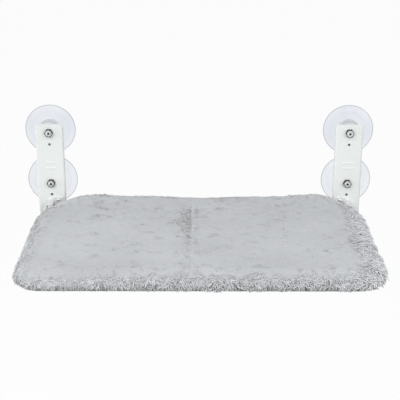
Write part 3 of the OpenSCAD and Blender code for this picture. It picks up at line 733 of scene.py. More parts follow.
def finish_skin(piece):
    """Gives the backing its thickness, and the slits through which the arms come out."""
    modified(piece, "SOLIDIFY", thickness=SKIN_T, offset=-1)
    slits = put_in_scene("slits", slit_blocks(), MATERIALS["plush"])
    modified(piece, "BOOLEAN", operation="DIFFERENCE", solver="EXACT", object=slits)
    bpy.data.objects.remove(slits)
    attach(piece, BED)
    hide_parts("plush_cover")


SLIT_GAP = 0.9 * MM
SLIT_REACH = 90 * MM


def arm_boxes():
    """The space that each hinge arm takes, with the slit's gap round it, at the bed's back."""
    boxes = []
    for name in ("hinge_arm_left", "hinge_arm_right"):
        low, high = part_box(name)
        gap = Vector((SLIT_GAP, SLIT_GAP, SLIT_GAP))
        boxes.append((Vector((low.x, high.y - SLIT_REACH, low.z)) - gap, high + gap))
    return boxes


def slit_blocks():
    points, faces = [], []
    for low, high in arm_boxes():
        first = len(points)
        points += [(x, y, z) for x in (low.x, high.x) for y in (low.y, high.y) for z in (low.z, high.z)]
        for face in ((0, 1, 3, 2), (4, 6, 7, 5), (0, 4, 5, 1), (2, 3, 7, 6), (0, 2, 6, 4), (1, 5, 7, 3)):
            faces.append([first + i for i in face])
    return mesh_of("slits", points, faces, smooth=False)


def open_hem(piece):
    """Takes the underside away inside the hem, and brings the edge onto the hem's line."""
    hem = plan_ring(HEM_REACH)
    work = bmesh.new()
    work.from_mesh(piece.data)
    half_z = (COVER_TOP_Z + COVER_BOTTOM_Z) / 2
    under = [face for face in work.faces if face.calc_center_median().z < half_z]
    gone = [face for face in under if inside(face.calc_center_median(), hem)]
    bmesh.ops.delete(work, geom=gone, context="FACES")
    for vertex in work.verts:
        if vertex.is_boundary:
            gaps = np.hypot(hem[:, 0] - vertex.co.x, hem[:, 1] - vertex.co.y)
            nearest = hem[gaps.argmin()]
            vertex.co.x, vertex.co.y = nearest
    work.to_mesh(piece.data)
    work.free()


def inside(point, ring):
    """Whether a point lies inside a ring of the plan."""
    x, y = point.x, point.y
    following = np.roll(ring, -1, axis=0)
    crosses = (ring[:, 1] > y) != (following[:, 1] > y)
    rise = np.where(crosses, following[:, 1] - ring[:, 1], 1)
    at = ring[:, 0] + (y - ring[:, 1]) / rise * (following[:, 0] - ring[:, 0])
    return bool(np.count_nonzero(crosses & (x < at)) % 2)


class Surface:
    """The triangles of a piece, to scatter locks over."""

    def __init__(self, piece):
        mesh = piece.data
        mesh.calc_loop_triangles()
        corners = np.empty(len(mesh.loop_triangles) * 3, dtype=np.int32)
        mesh.loop_triangles.foreach_get("vertices", corners)
        corners = corners.reshape(-1, 3)
        self.points = coordinates(mesh)[corners]
        self.normals = vertex_normals(mesh)[corners]
        a, b, c = (self.points[:, i] for i in range(3))
        self.areas = np.linalg.norm(np.cross(b - a, c - a), axis=1) / 2

    def scatter(self, per_mm2, rng):
        """Random roots and their surface normals."""
        count = int(self.areas.sum() / MM ** 2 * per_mm2)
        which = rng.choice(len(self.areas), count, p=self.areas / self.areas.sum())
        u, v = rng.random((2, count))
        over = u + v > 1
        u = np.where(over, 1 - u, u)
        v = np.where(over, 1 - v, v)
        shares = np.stack([1 - u - v, u, v], axis=1)[:, :, None]
        roots = (self.points[which] * shares).sum(axis=1)
        normals = (self.normals[which] * shares).sum(axis=1)
        return roots, unit(normals)


def unit(vectors):
    return vectors / np.maximum(np.linalg.norm(vectors, axis=-1, keepdims=True), 1e-12)


def mix(low, high, share):
    return low + (high - low) * share


def turned(vectors, axes, angles):
    """Turns unit tangents about unit axes that they are square to."""
    return vectors * np.cos(angles)[:, None] + np.cross(axes, vectors) * np.sin(angles)[:, None]


# Bands along the bed's edges in which the pile changes: where it starts, and where it is full
FRONT_BAND = (26 * MM, 10 * MM)
RIGHT_BAND = (46 * MM, 14 * MM)
LEFT_BAND = (20 * MM, 2 * MM)
BACK_BAND = (60 * MM, 15 * MM)
CORNER_BAND = (50 * MM, 15 * MM)
LOW_BAND = (18 * MM, 4 * MM)
FRONT_TONE_INSET = 4 * MM
# Painted shade: between these depths the pile's tone darkens towards the back
REAR_SHADE_Y = (-210 * MM, -40 * MM)

# The hinges keep the pile short beside them
HINGE_PILE_X = (196 * MM, 210 * MM)
HINGE_PILE_Y = (-84 * MM, -70 * MM)


def pile_places(roots, normals):
    """Where each root lies, as shares from 0 to 1, and how shaggy the pile is there."""
    x, y, z = roots.T
    at = SimpleNamespace()
    at.patchy = 0.5 + 0.5 * np.clip(soft_waves(roots, 21, 26 * MM), -1, 1)
    at.rightward = smooth_step(x, -BED_HALF_W * 0.8, 0)
    front = smooth_step(-normals[:, 1], mix(0.75, 0.6, at.rightward), mix(0.98, 0.94, at.rightward))
    at.front = front * band(-y, -BED_FRONT_Y, FRONT_BAND)
    at.behind = smooth_step(normals[:, 1], 0.55, 0.95)
    at.right = band(x, BED_HALF_W, RIGHT_BAND)
    at.left = band(-x, BED_HALF_W, LEFT_BAND)
    at.under = smooth_step(-normals[:, 2], 0.45, 0.85)
    at.low = band(-z, -COVER_BOTTOM_Z, LOW_BAND)
    at.fold = crease(roots) * smooth_step(normals[:, 2], 0.5, 0.9)
    at.tufts = smooth_step(soft_waves(roots * (0.7, 1, 1), 35, 22 * MM), 0.8, 1.7)
    at.hinge = smooth_step(np.abs(x), *HINGE_PILE_X) * smooth_step(y, *HINGE_PILE_Y)
    at.downward = smooth_step(-z, -COVER_TOP_Z + FRONT_TONE_INSET, -COVER_BOTTOM_Z - FRONT_TONE_INSET)
    at.corner = band(np.abs(x), BED_HALF_W, CORNER_BAND) * band(-y, -BED_FRONT_Y, CORNER_BAND) * at.low
    shag = at.front * mix(0.7, 1, at.patchy) * mix(0.7, 1, at.rightward)
    shag = shag + at.right * mix(0.6, 1, at.patchy) + at.left * 0.3
    shag += at.fold * 0.22 + at.tufts * 0.1
    back = band(y, BED_BACK_Y, BACK_BAND)
    shag = (np.clip(shag, 0, 1) * (1 - 0.6 * back) + 0.3 * at.behind) * (1 - 0.85 * at.under)
    at.shag = shag * (1 - 0.7 * at.hinge)
    return at


def pile_lay(roots, normals, at, rng):
    """The way each lock lies along the surface: across the top, and down the sides."""
    ones = np.ones(len(roots))
    side = 1 - smooth_step(normals[:, 2], 0.1, 0.7)
    heading = np.radians(-20 + 45 * np.clip(soft_waves(roots, 22, 70 * MM), -1.4, 1.4))
    heading += 0.4 * soft_waves(roots, 23, 20 * MM)
    across = np.stack([np.cos(heading), np.sin(heading), -0.1 * ones], axis=1)
    sway = soft_waves(roots, 24, 26 * MM) * mix(1, 2.5, at.low)
    down = np.stack([sway, 0.3 * soft_waves(roots, 25, 22 * MM), -ones * mix(1, 0.05, at.low)], axis=1)
    lay = across * (1 - side)[:, None] + down * side[:, None]
    lay = unit(lay - normals * (lay * normals).sum(axis=1)[:, None])
    return turned(lay, normals, rng.normal(0, mix(0.25, 0.75, at.shag)))


def pile_contrast(at):
    """How much the locks differ from each other, and how far painted shade darkens them to their roots."""
    contrast = at.front * mix(0.05, 1.2, at.downward) * mix(0.45, 1, at.rightward)
    contrast *= mix(0.35, 1.15, at.patchy)
    contrast += at.right * 0.14 * mix(0.3, 1, at.patchy) + at.left * 0.05 + at.behind * 0.25 * at.patchy
    return np.clip(contrast + at.fold * 0.5 + at.tufts * 0.14 + at.under * 0.12, 0, 1)


def pile_tone(roots, at):
    """How light the locks are: 1 is the plush's own light grey.
    Painted light lifts the front, the sides and the back; painted shade darkens the rear of the top, flecks
    on the front, the crease, the underside and the tuft marks.
    """
    # Painted sheen: faint streaks along the nap
    sheen_streaks = soft_waves(roots * (0.28, 1.3, 1), 33, 14 * MM)
    patch = np.clip(soft_waves(roots, 31, 40 * MM), -1, 1)
    # Painted shade: dark flecks between the front's locks
    shade_flecks = np.clip(soft_waves(roots * (1, 1, 1.6), 46, 7 * MM), 0, 1.4) * mix(0.4, 1, at.rightward)
    # Painted shade: the top darker towards the back
    tone = 0.75 + 0.014 * sheen_streaks + 0.015 * patch - 0.17 * smooth_step(roots[:, 1], *REAR_SHADE_Y)
    # Painted light: the front lighter, most towards its bottom, and the right side lighter
    painted_light_and_shade = at.front * (mix(0.18, 0.76, at.downward) - 0.34 * at.downward * shade_flecks) + at.right * 0.38
    # Painted light on the left side and the back; painted shade in the crease, underneath and in the tuft
    # marks
    return tone + (painted_light_and_shade + (at.left + at.behind) * 0.26 - at.fold * 0.14 - at.under * 0.05 - at.tufts * 0.02)


# Sizes and angles of the locks, each from the nap's to the shag's
LOCK_LENGTHS = (6.5 * MM, 12.5 * MM)
LOCK_THICKNESSES = (1.4 * MM, 2 * MM)
LOCK_LIFTS = (0.17, 0.75)
LOCK_CURLS = (0.35, 0.95)
CLUMP_PULLS = (0.35, 0.85)

# From even pile to pile full of contrast: how far the locks' tones vary and how dark the painted shade at
# their roots is
TONE_SPREADS = (0.025, 0.3)
ROOT_SHADES = (0.16, 1.0)

# How many locks share a clump, how far they lean to its middle, and how deep in the backing they start
LOCKS_PER_CLUMP = 14
CLUMP_REACH = 4 * MM
ROOT_DEPTH = 0.7 * MM


def grow(surface, seed, per_mm2, rings, weight):
    """Locks of pile where weight says so."""
    rng = np.random.default_rng(seed)
    roots, normals = surface.scatter(per_mm2, rng)
    at = pile_places(roots, normals)
    at.lay = pile_lay(roots, normals, at, rng)
    at.contrast = pile_contrast(at)
    at.tone = pile_tone(roots, at)
    kept = rng.random(len(roots)) < weight(at) * clear_of_arms(roots)
    roots, normals = roots[kept], normals[kept]
    at = SimpleNamespace(**{name: value[kept] for name, value in vars(at).items()})
    count = len(roots)
    shag = at.shag
    shorter = mix(1, 0.45, at.low) * mix(1, 0.5, at.corner) * mix(1, 0.75, at.hinge)
    length = mix(*LOCK_LENGTHS, shag) * shorter * rng.uniform(0.7, 1.2, count)
    width = mix(*LOCK_THICKNESSES, shag) * rng.uniform(0.75, 1.2, count)
    lift = mix(*LOCK_LIFTS, shag) * mix(1, 0.2, at.low) * mix(1, 0.4, at.hinge) * rng.uniform(0.6, 1.3, count)
    curl = mix(*LOCK_CURLS, shag) * rng.normal(0, 1, count)
    pull = clump_pull(roots, normals, mix(*CLUMP_PULLS, shag), rng)
    spine = lock_spines(roots, normals, at.lay, (length, lift, curl, shag, pull), rings, rng)
    base = at.tone + rng.normal(0, 1, count) * mix(*TONE_SPREADS, at.contrast)
    # Painted shade at the roots, deeper where the pile has more contrast
    return lock_mesh(spine, normals, width, base, mix(*ROOT_SHADES, at.contrast))


def clump_pull(roots, normals, strength, rng):
    """Where each lock's tip is drawn to: the middle of the clump that it belongs to."""
    count = max(4, len(roots) // LOCKS_PER_CLUMP)
    middles = roots[rng.choice(len(roots), count, replace=False)]
    tree = tree_of(middles)
    nearest = np.array([tree.find(root)[1] for root in roots])
    pull = middles[nearest] - roots
    pull -= normals * (pull * normals).sum(axis=1)[:, None]
    far = np.linalg.norm(pull, axis=1, keepdims=True)
    pull *= np.minimum(1, CLUMP_REACH / np.maximum(far, 1e-9))
    return pull * strength[:, None]


def lock_spines(roots, normals, lay, form, rings, rng):
    """Points along each lock from its root to its tip."""
    length, lift, curl, shag, pull = form
    beside = np.cross(normals, lay)
    step = length / rings
    wave = rng.uniform(0, 2 * math.pi, len(roots))
    spine = [roots - normals * ROOT_DEPTH]
    for k in range(rings):
        t = (k + 0.5) / rings
        rise = lift * (1.45 - 1.9 * t)
        turn = curl * (t - 0.25) + mix(0.05, 0.3, shag) * np.sin(wave + 5 * t)
        along = lay * np.cos(turn)[:, None] + beside * np.sin(turn)[:, None]
        along = along * np.cos(rise)[:, None] + normals * np.sin(rise)[:, None]
        spine.append(spine[-1] + along * step[:, None] + pull * (2 * t / rings))
    spine = np.stack(spine, axis=1)
    dips = PILE_DIPS * np.clip(soft_waves(roots, 44, 11 * MM), 0, 1)
    rise = PILE_BOTTOM_RISE * np.maximum(0, beyond_outline(spine) + LOWER_ROLL)
    floor_z = PILE_BOTTOM_Z - dips[:, None] + rise
    spine[:, :, 2] -= np.minimum(spine[:, :, 2] - floor_z, 0) * 0.9
    return spine


def beyond_outline(points):
    """How far points lie outside the bed's outline, negative inside."""
    x, y = points[..., 0], points[..., 1]
    r = np.where(y > BED_MID_Y, REAR_CORNER_R, FRONT_CORNER_R)
    right = np.abs(x) - (BED_HALF_W - r)
    back = np.abs(y - BED_MID_Y) - (BED_HALF_D - r)
    return np.hypot(np.maximum(right, 0), np.maximum(back, 0)) + np.minimum(np.maximum(right, back), 0) - r


# The pile's underside: flat underneath, and rising outwards round the lower roll
PILE_BOTTOM_Z = COVER_BOTTOM_Z + 1.2 * MM
PILE_BOTTOM_RISE = 0.5
PILE_DIPS = 2 * MM
LOCK_WIDTHS = (0.75, 1.0, 0.95, 0.75, 0.5)
LOCK_FLATNESS = 0.5
LOCK_ROUNDNESS = 0.6
LOCK_SIDES = 3


def lock_mesh(spine, normals, width, base, depth):
    """Closed three-sided locks round their spines, as arrays: points, normals, tones and triangles."""
    count, points, _ = spine.shape
    rings = points - 1
    along = unit(np.gradient(spine, axis=1))
    across = unit(np.cross(along, normals[:, None]))
    above = np.cross(across, along)
    shares = np.interp(np.linspace(0, 1, rings), np.linspace(0, 1, len(LOCK_WIDTHS)), LOCK_WIDTHS)
    half = width[:, None] * shares[None] / 2
    co, out = [], []
    for angle in (-math.pi / 6, math.pi / 2, math.pi * 7 / 6):
        outward = across[:, :rings] * math.cos(angle) + above[:, :rings] * math.sin(angle)
        flat = across[:, :rings] * math.cos(angle) + above[:, :rings] * math.sin(angle) * LOCK_FLATNESS
        co.append(spine[:, :rings] + flat * half[:, :, None])
        out.append(outward)
    co = np.stack(co, axis=2).reshape(count, rings * LOCK_SIDES, 3)
    out = np.stack(out, axis=2).reshape(count, rings * LOCK_SIDES, 3)
    co = np.concatenate([co, spine[:, -1:]], axis=1)
    out = np.concatenate([out, along[:, -1:]], axis=1)
    out = unit(out * LOCK_ROUNDNESS + normals[:, None] * (1 - LOCK_ROUNDNESS))
    t = np.append(np.repeat(np.linspace(0, 1, rings + 1)[:-1], LOCK_SIDES), 1)
    # Painted shade: each lock darkens towards its root
    tone = np.clip((base[:, None] - depth[:, None] * (1 - t[None]) ** 2.2) * LIGHT_TONE, 0, 1)
    triangles, cells = lock_pattern(rings)
    return co, out, tone, triangles, cells


def lock_pattern(rings):
    """Triangles of one lock and, for each of their corners, its place in the lock's texture cell."""
    triangles, cells = [], []
    tip = rings * LOCK_SIDES

    def add(corners):
        triangles.append([c[0] for c in corners])
        cells.append([c[1:] for c in corners])

    for k in range(rings):
        low, high = k / (rings + 1), (k + 1) / (rings + 1)
        for side in range(LOCK_SIDES):
            following = (side + 1) % LOCK_SIDES
            u0, u1 = side / LOCK_SIDES, (side + 1) / LOCK_SIDES
            a = (k * LOCK_SIDES + side, u0, low)
            b = (k * LOCK_SIDES + following, u1, low)
            if k == rings - 1:
                add([b, a, (tip, (u0 + u1) / 2, high)])
                continue
            c = ((k + 1) * LOCK_SIDES + following, u1, high)
            d = ((k + 1) * LOCK_SIDES + side, u0, high)
            add([b, a, c])
            add([c, a, d])
    top = rings / (rings + 1)
    add([(1, 1, top), (2, 0.5, top), (0, 0, 1)])
    return np.array(triangles), np.array(cells)


MOST_TRIANGLES = 180000
CELL_MARGIN = 0.08
ARM_MARGIN = 5 * MM


def put_pile(name, locks):
    """Makes pieces of pile from locks, none of them larger than the export keeps whole."""
    co, out, tone, triangles, cells = locks
    pieces = math.ceil(len(co) * len(triangles) / MOST_TRIANGLES)
    order = np.argsort(co[:, 0, 0], kind="stable")
    for number, chosen in enumerate(np.array_split(order, pieces)):
        piece_name = name if pieces == 1 else f"{name}_{number + 1}"
        mesh = pile_mesh(piece_name, co[chosen], out[chosen], tone[chosen], triangles, cells)
        piece = put_in_scene(piece_name, mesh, PILE)
        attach(piece, BED)


def pile_mesh(name, co, out, tone, triangles, cells):
    """One mesh of many locks, with their tones, normals and a texture cell for each."""
    count, per_lock = co.shape[:2]
    faces = (triangles[None] + (np.arange(count) * per_lock)[:, None, None]).reshape(-1)
    total = len(faces) // 3
    mesh = bpy.data.meshes.new(name)
    mesh.vertices.add(count * per_lock)
    mesh.vertices.foreach_set("co", floats(co))
    mesh.loops.add(total * 3)
    mesh.loops.foreach_set("vertex_index", faces.astype(np.int32))
    mesh.polygons.add(total)
    mesh.polygons.foreach_set("loop_start", np.arange(0, total * 3, 3, dtype=np.int32))
    mesh.update(calc_edges=True)
    mesh.shade_smooth()
    mesh.attributes.new("tone", "FLOAT", "POINT").data.foreach_set("value", floats(tone))
    side = math.ceil(math.sqrt(count))
    first = np.stack([np.arange(count) % side, np.arange(count) // side], axis=1)
    uv = (first[:, None, None] + CELL_MARGIN + (1 - 2 * CELL_MARGIN) * cells[None]) / side
    mesh.uv_layers.new(name="OFBake").data.foreach_set("uv", floats(uv))
    mesh.normals_split_custom_set_from_vertices(out.reshape(-1, 3))
    return mesh


def clear_of_arms(roots):
    """1 where a lock doesn't grow into a hinge arm, else 0."""
    free = np.ones(len(roots))
    for low, high in arm_boxes():
        inside_box = (roots > np.array(low) - ARM_MARGIN) & (roots < np.array(high) + ARM_MARGIN)
        free[np.all(inside_box, axis=1)] = 0
    return free


def nap_weight(at):
    return (1 - smooth_step(at.shag, 0.3, 0.75)) * mix(1, 0.7, at.under)


def shag_weight(at):
    return smooth_step(at.shag, 0.12, 0.5)


def plush_pile_all(surface):
    """The whole pile: short nap over the top and underneath, and shaggy locks at front and side."""
    put_pile("pile_nap", grow(surface, 41, 0.26, 3, nap_weight))
    put_pile("pile_shag", grow(surface, 42, 0.34, 5, shag_weight))


# What the cover holds: foam pad, canvas deck, webbing tabs and the hem's elastic
PAD_VOXEL = 3 * MM
PAD_EDGE = ((11, 0.1), (9.8, 0.4), (9.1, 1.0), (9.2, 2.2), (10.2, 3.6), (12.2, 4.9), (15, 5.8), (19, 6.4))
DECK_T = 1 * MM
DECK_COLUMNS = 73
TUBE_GAP = 0.05 * MM
TAB_T = 1.1 * MM
REAR_BEND_R = 75 * MM
FRONT_BEND_R = 40 * MM
SLEEVE_END_INSET = 6 * MM
SLEEVE_TURN = 325
SEAM_ALLOWANCE = 9 * MM
SEAM_INSET = 8 * MM
SEAM_LAP = 1.02


def foam_pad():
    """Cut foam slab with eased edges, crowned like the cover and dented under its crease."""
    bottom_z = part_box("foam_pad")[0].z
    rings = []
    for inset, rise in PAD_EDGE:
        rings.append(at_height(plan_ring(inset * MM), bottom_z + rise * MM))
    piece = put_in_scene("pad_foam", capped("pad_foam", rings), MATERIALS["foam"])
    remeshed(piece, PAD_VOXEL)
    co = coordinates(piece.data)
    up = smooth_step(co[:, 2], bottom_z + 3 * MM, bottom_z + 6.5 * MM)
    uneven = soft_waves(co, 51, 45 * MM) * 0.15 * MM
    co[:, 2] += up * (crown_form(co) + uneven - CREASE_DEPTH * crease(co))
    co[:, 2] = np.maximum(co[:, 2], bottom_z + 0.05 * MM)
    set_coordinates(piece.data, co)
    finish_soft(piece, "foam_pad")


def finish_soft(piece, node):
    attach(piece, BED)
    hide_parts(node)


def tube_middle(name):
    """Radius of a frame tube and its centre's height."""
    low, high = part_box(name)
    return (high.z - low.z) / 2, (high.z + low.z) / 2


def side_tube_x():
    """Distance of the side tubes' centres from the middle."""
    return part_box("front_frame_tube")[1].x - tube_middle("front_frame_tube")[0]


def deck_rows():
    """The deck's rows from its rear seam over both tubes to its front seam: y, z and half width."""
    tube_r, tube_z = tube_middle("rear_frame_tube")
    sleeve_r = tube_r + TUBE_GAP + DECK_T / 2
    flat_z = tube_z + sleeve_r
    seam_z = flat_z - DECK_T * SEAM_LAP
    back_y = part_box("rear_frame_tube")[1].y - tube_r
    front_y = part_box("front_frame_tube")[0].y + tube_r
    side_x = side_tube_x()
    rows = []
    for sign, y, bend_r in ((1, back_y, REAR_BEND_R), (-1, front_y, FRONT_BEND_R)):
        straight = side_x - bend_r
        sleeve_half = straight - SLEEVE_END_INSET
        part = [(y - sign * (SEAM_INSET + SEAM_ALLOWANCE * s), seam_z, sleeve_half) for s in (1, 0.5, 0)]
        for angle in np.radians(np.linspace(SLEEVE_TURN, 0, 30)):
            z = tube_z + sleeve_r * math.cos(angle)
            part.append((y + sign * sleeve_r * math.sin(angle), z, sleeve_half))
        for angle in np.radians(np.linspace(84, 0, 15)):
            half = straight + bend_r * math.cos(angle)
            part.append((y - sign * bend_r * (1 - math.sin(angle)), flat_z, half))
        rows.append(part)
    rear, front = rows
    inner = np.linspace(rear[-1][0], front[-1][0], 34)[1:-1]
    return rear + [(y, flat_z, side_x) for y in inner] + front[::-1]


def canvas_deck():
    """One sheet of canvas sewn round the front and rear tubes, a little slack between them."""
    rows = deck_rows()
    columns = np.linspace(-1, 1, DECK_COLUMNS)
    points = np.array([[(share * half, y, z) for share in columns] for y, z, half in rows])
    flat = points.reshape(-1, 3)
    on_top = flat[:, 2] > flat[:, 2].max() - 0.01 * MM
    v = bulge((flat[:, 1] - BED_MID_Y) / (BED_HALF_D - 35 * MM))
    u = bulge(flat[:, 0] / (BED_HALF_W - 30 * MM))
    flat[:, 2] -= on_top * v * u * (0.5 + 0.2 * np.clip(soft_waves(flat, 52, 60 * MM), -1.5, 1.5)) * MM
    mesh = mesh_of("deck_canvas", flat, grid_faces(len(rows), DECK_COLUMNS, ring=False))
    piece = put_in_scene("deck_canvas", mesh, MATERIALS["canvas"])
    modified(piece, "SOLIDIFY", thickness=DECK_T, offset=0)
    finish_soft(piece, "canvas_deck")


def deck_tabs():
    """A webbing loop under each side tube, sewn to the deck's edge."""
    tube_r, tube_z = tube_middle("front_frame_tube")
    side_x = side_tube_x()
    low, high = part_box("deck_tabs")
    middle_y = (low.y + high.y) / 2
    middle_r = tube_r + TUBE_GAP + TAB_T / 2
    angles = np.radians(np.linspace(14, 332, 40))
    depths = np.linspace(low.y, high.y, 15)
    points, faces = [], []
    for side in (-1, 1):
        quads = grid_faces(len(angles), len(depths), ring=False, first=len(points))
        faces += quads if side < 0 else [quad[::-1] for quad in quads]
        for angle in angles:
            x = side * (side_x + middle_r * math.sin(angle))
            z = tube_z + min(middle_r * math.cos(angle), middle_r - TAB_T)
            for y in depths:
                edge = 0.25 * MM * math.cos(24 * angle) * (abs(y - middle_y) / (high.y - low.y) * 2) ** 4
                points.append((x, y + edge, z))
    piece = put_in_scene("tab_webbing", mesh_of("tab_webbing", points, faces), MATERIALS["webbing"])
    modified(piece, "SOLIDIFY", thickness=TAB_T, offset=0)
    finish_soft(piece, "deck_tabs")


def resampled(ring, count):
    """The same closed ring with evenly spaced points."""
    closed = np.vstack([ring, ring[:1]])
    steps = np.linalg.norm(np.diff(closed, axis=0), axis=1)
    place = np.append(0, np.cumsum(steps))
    at = np.linspace(0, place[-1], count, endpoint=False)
    return np.column_stack([np.interp(at, place, closed[:, i]) for i in range(2)])


ELASTIC_W = 6 * MM
ELASTIC_POINTS = 1100
POINTS_PER_RIPPLE = 7
ELASTIC_SECTION = ((0, -0.55), (0.06, -0.9), (0.94, -0.9), (1, -0.55),
                   (1, 0.55), (0.94, 0.9), (0.06, 0.9), (0, 0.55))


def hem_elastic():
    """The elastic band in the hem, gathered in small even ripples."""
    low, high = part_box("hem_elastic")
    middle_z = (low.z + high.z) / 2
    half_t = (high.z - low.z) / 2
    ripple = np.sin(np.arange(ELASTIC_POINTS) * 2 * math.pi / POINTS_PER_RIPPLE)
    rings = []
    for share, height in ELASTIC_SECTION:
        ring = resampled(plan_ring(mix(HEM_REACH, HEM_REACH + ELASTIC_W, share)), ELASTIC_POINTS)
        rings.append(at_height(ring, middle_z + height * half_t * 0.72 + ripple * half_t * 0.25))
    mesh = mesh_of("elastic_band", np.concatenate(rings), grid_faces(len(rings), ELASTIC_POINTS, looped=True))
    finish_soft(put_in_scene("elastic_band", mesh, MATERIALS["elastic"]), "hem_elastic")


STITCH_PITCH = 5 * MM
STITCH_L = 3.6 * MM
STITCH_R = 0.35 * MM
STITCH_RISE = 0.25 * MM
STITCH_INSET = 5 * MM
STITCH_FORM = ((-0.5, 0.3), (-0.35, 1), (0, 1.15), (0.35, 1), (0.5, 0.3))


def hem_stitches():
    """The seam that holds the elastic in the hem: a line of stitches round the skirt's underside."""
    ring = plan_ring(HEM_REACH - STITCH_INSET)
    around = np.linalg.norm(np.diff(np.vstack([ring, ring[:1]]), axis=0), axis=1).sum()
    count = int(around / STITCH_PITCH)
    middles = resampled(ring, count)
    gathers = skirt_gathers(at_height(middles, COVER_BOTTOM_Z))
    z = COVER_BOTTOM_Z + UNDER_INSET + gathers
    ahead = unit(np.roll(middles, -1, axis=0) - np.roll(middles, 1, axis=0))
    beside = np.column_stack([-ahead[:, 1], ahead[:, 0]])
    rings, sides = len(STITCH_FORM), 6
    points, faces = [], []
    for i in range(count):
        first = len(points)
        last = first + (rings - 1) * sides
        for place, r in STITCH_FORM:
            at = middles[i] + ahead[i] * place * STITCH_L
            lift = STITCH_RISE * (1 - (2 * place) ** 2)
            for turn in np.arange(sides) * 2 * math.pi / sides:
                side = at + beside[i] * r * STITCH_R * math.cos(turn)
                points.append((side[0], side[1], z[i] - lift + r * STITCH_R * math.sin(turn)))
        faces += grid_faces(rings, sides, first=first)
        faces += [range(first + sides - 1, first - 1, -1), range(last, last + sides)]
    piece = put_in_scene("hem_stitches", mesh_of("hem_stitches", points, faces), THREAD)
    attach(piece, BED)


# Points of a ring in millimetres: out from the hole's edge, and back from the bracket's face
RIM_PROFILE = ((-0.02, 2), (-0.02, -0.02), (0.28, -0.02), (0.2, -0.2), (0, -0.24), (-0.16, -0.05), (-0.18, 2))
EYELET_PROFILE = ((-0.2, 2), (-0.2, 0.02), (-0.7, 0.12), (-1.45, 0.5), (-1.5, 2))


def hole_rings(name, profile, material):
    """Turned rings in the brackets' spare holes, from a profile's distances out and back."""
    steps = 32
    points, faces = [], []
    for side in (-1, 1):
        for level in (-1, 1):
            faces += grid_faces(len(profile), steps, looped=True, first=len(points))
            middle_x, middle_z = side * CUP_X, level * CUP_Z - SPARE_HOLE_DROP
            for out, depth in profile:
                radius = SPARE_HOLE_R + out * MM
                for i in range(steps):
                    a = 2 * math.pi * i / steps
                    points.append((middle_x + radius * math.cos(a), PLATE_FRONT_Y + depth * MM,
                                   middle_z + radius * math.sin(a)))
    piece = put_in_scene(name, mesh_of(name, points, faces), material)
    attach(piece, WALL_SIDE)


def hole_eyelets():
    """Rims in the brackets' paint round the spare holes, and dark eyelets inside them: painted shade in the
    holes.
    """
    hole_rings("hole_rims", RIM_PROFILE, MATERIALS["bracket_paint"])
    # Painted shade: dark eyelets in the spare holes
    hole_rings("hole_eyelets", EYELET_PROFILE, hole_shade_steel("hole_shade_steel"))


# Staging: pale floor and backdrop, soft studio light and the photograph's camera
CAMERA_AT = (0.0, -1.49515, 0.469)
CAMERA_PITCH = 20.03
CAMERA_ROLL = 0.08
FOCAL_PX = 1002.86
FRAME_PX = 400
SENSOR_MM = 36
OPTICAL_X_PX = 199.2
SKY_COLOR = (0.96, 0.98, 1.0, 1)
SKY_STRENGTH = 0.62
FLOOR_COLOR = (0.9, 0.9, 0.9, 1)
FLOOR_GLOW = 0.93
FLOOR_DROP = 0.7
FLOOR_HALF_W = 12


def camera():
    data = assign(bpy.data.cameras.new("camera"), sensor_width=SENSOR_MM, clip_end=50)
    data.lens = FOCAL_PX / FRAME_PX * SENSOR_MM
    data.shift_x = (FRAME_PX / 2 - OPTICAL_X_PX) / FRAME_PX
    eye = bpy.data.objects.new("camera", data)
    bpy.context.scene.collection.objects.link(eye)
    pitch = Matrix.Rotation(math.radians(90 - CAMERA_PITCH), 4, "X")
    roll = Matrix.Rotation(math.radians(CAMERA_ROLL), 4, "Z")
    eye.matrix_world = Matrix.Translation(CAMERA_AT) @ (pitch @ roll)
    bpy.context.scene.camera = eye


def lamp(name, at, size, power, target=(0, -0.15, -0.05)):
    data = assign(bpy.data.lights.new(name, "AREA"), size=size, energy=power)
    light = bpy.data.objects.new(name, data)
    bpy.context.scene.collection.objects.link(light)
    light.location = at
    light.rotation_euler = (Vector(target) - Vector(at)).to_track_quat("-Z", "Y").to_euler()


def new_node(tree, kind, **inputs):
    """A node of a tree, with numbers and colours for some of its inputs."""
    node = tree.nodes.new(kind)
    for socket, value in inputs.items():
        node.inputs[socket].default_value = value
    return node


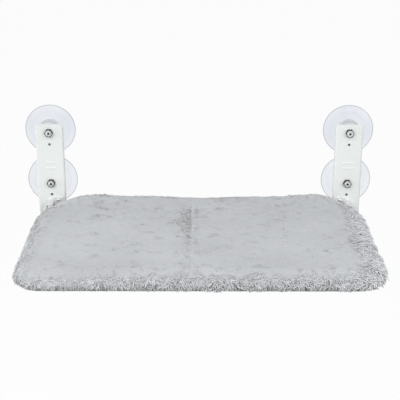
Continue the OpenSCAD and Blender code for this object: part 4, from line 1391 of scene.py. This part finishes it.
def seen_ray(tree):
    """1 for rays from the camera, and for those that metal and glass send on."""
    path = tree.nodes.new("ShaderNodeLightPath")
    value = path.outputs["Is Camera Ray"]
    for name in ("Is Glossy Ray", "Is Transmission Ray"):
        most = tree.nodes.new("ShaderNodeMath")
        most.operation = "MAXIMUM"
        tree.links.new(value, most.inputs[0])
        tree.links.new(path.outputs[name], most.inputs[1])
        value = most.outputs[0]
    return value


def blended(tree, output, share, first, second):
    """Sends a blend of two shaders to the output: share is a number or a socket."""
    blend = tree.nodes.new("ShaderNodeMixShader")
    if isinstance(share, float):
        blend.inputs[0].default_value = share
    else:
        tree.links.new(share, blend.inputs[0])
    tree.links.new(first.outputs[0], blend.inputs[1])
    tree.links.new(second.outputs[0], blend.inputs[2])
    tree.links.new(blend.outputs[0], output.inputs["Surface"])


def studio():
    scene = bpy.context.scene
    scene.view_settings.view_transform = "Standard"
    world = bpy.data.worlds.new("studio")
    scene.world = world
    world.use_nodes = True
    tree = world.node_tree
    tree.nodes.clear()
    output = tree.nodes.new("ShaderNodeOutputWorld")
    light = new_node(tree, "ShaderNodeBackground", Color=SKY_COLOR, Strength=SKY_STRENGTH)
    backdrop = new_node(tree, "ShaderNodeBackground", Color=(*WHITE, 1), Strength=1.0)
    blended(tree, output, seen_ray(tree), light, backdrop)
    lamp("key", (-0.8, -2.0, 1.5), 1.6, 26)
    lamp("fill", (1.2, -2.1, 0.8), 1.8, 21.5)
    lamp("side", (-2.2, -0.2, 0.1), 1.4, 16)
    edge, z = FLOOR_HALF_W, cad_low.z - FLOOR_DROP
    corners = [(-edge, -edge, z), (edge, -edge, z), (edge, edge, z), (-edge, edge, z)]
    floor = put_in_scene("floor", mesh_of("floor", corners, [(0, 1, 2, 3)]), floor_material())


def floor_material():
    """Pale matt floor that looks almost white to the camera."""
    material = bpy.data.materials.new("floor")
    tree, output = node_group(material)
    diffuse = new_node(tree, "ShaderNodeBsdfDiffuse", Color=FLOOR_COLOR)
    glow = tree.nodes.new("ShaderNodeEmission")
    tree.links.new(seen_ray(tree), glow.inputs["Strength"])
    blended(tree, output, FLOOR_GLOW, diffuse, glow)
    return material


camera()
studio()
paint_cad_nodes()
skin = plush_skin()
plush_pile_all(Surface(skin))
finish_skin(skin)
foam_pad()
canvas_deck()
deck_tabs()
hem_elastic()
hem_stitches()
hole_eyelets()
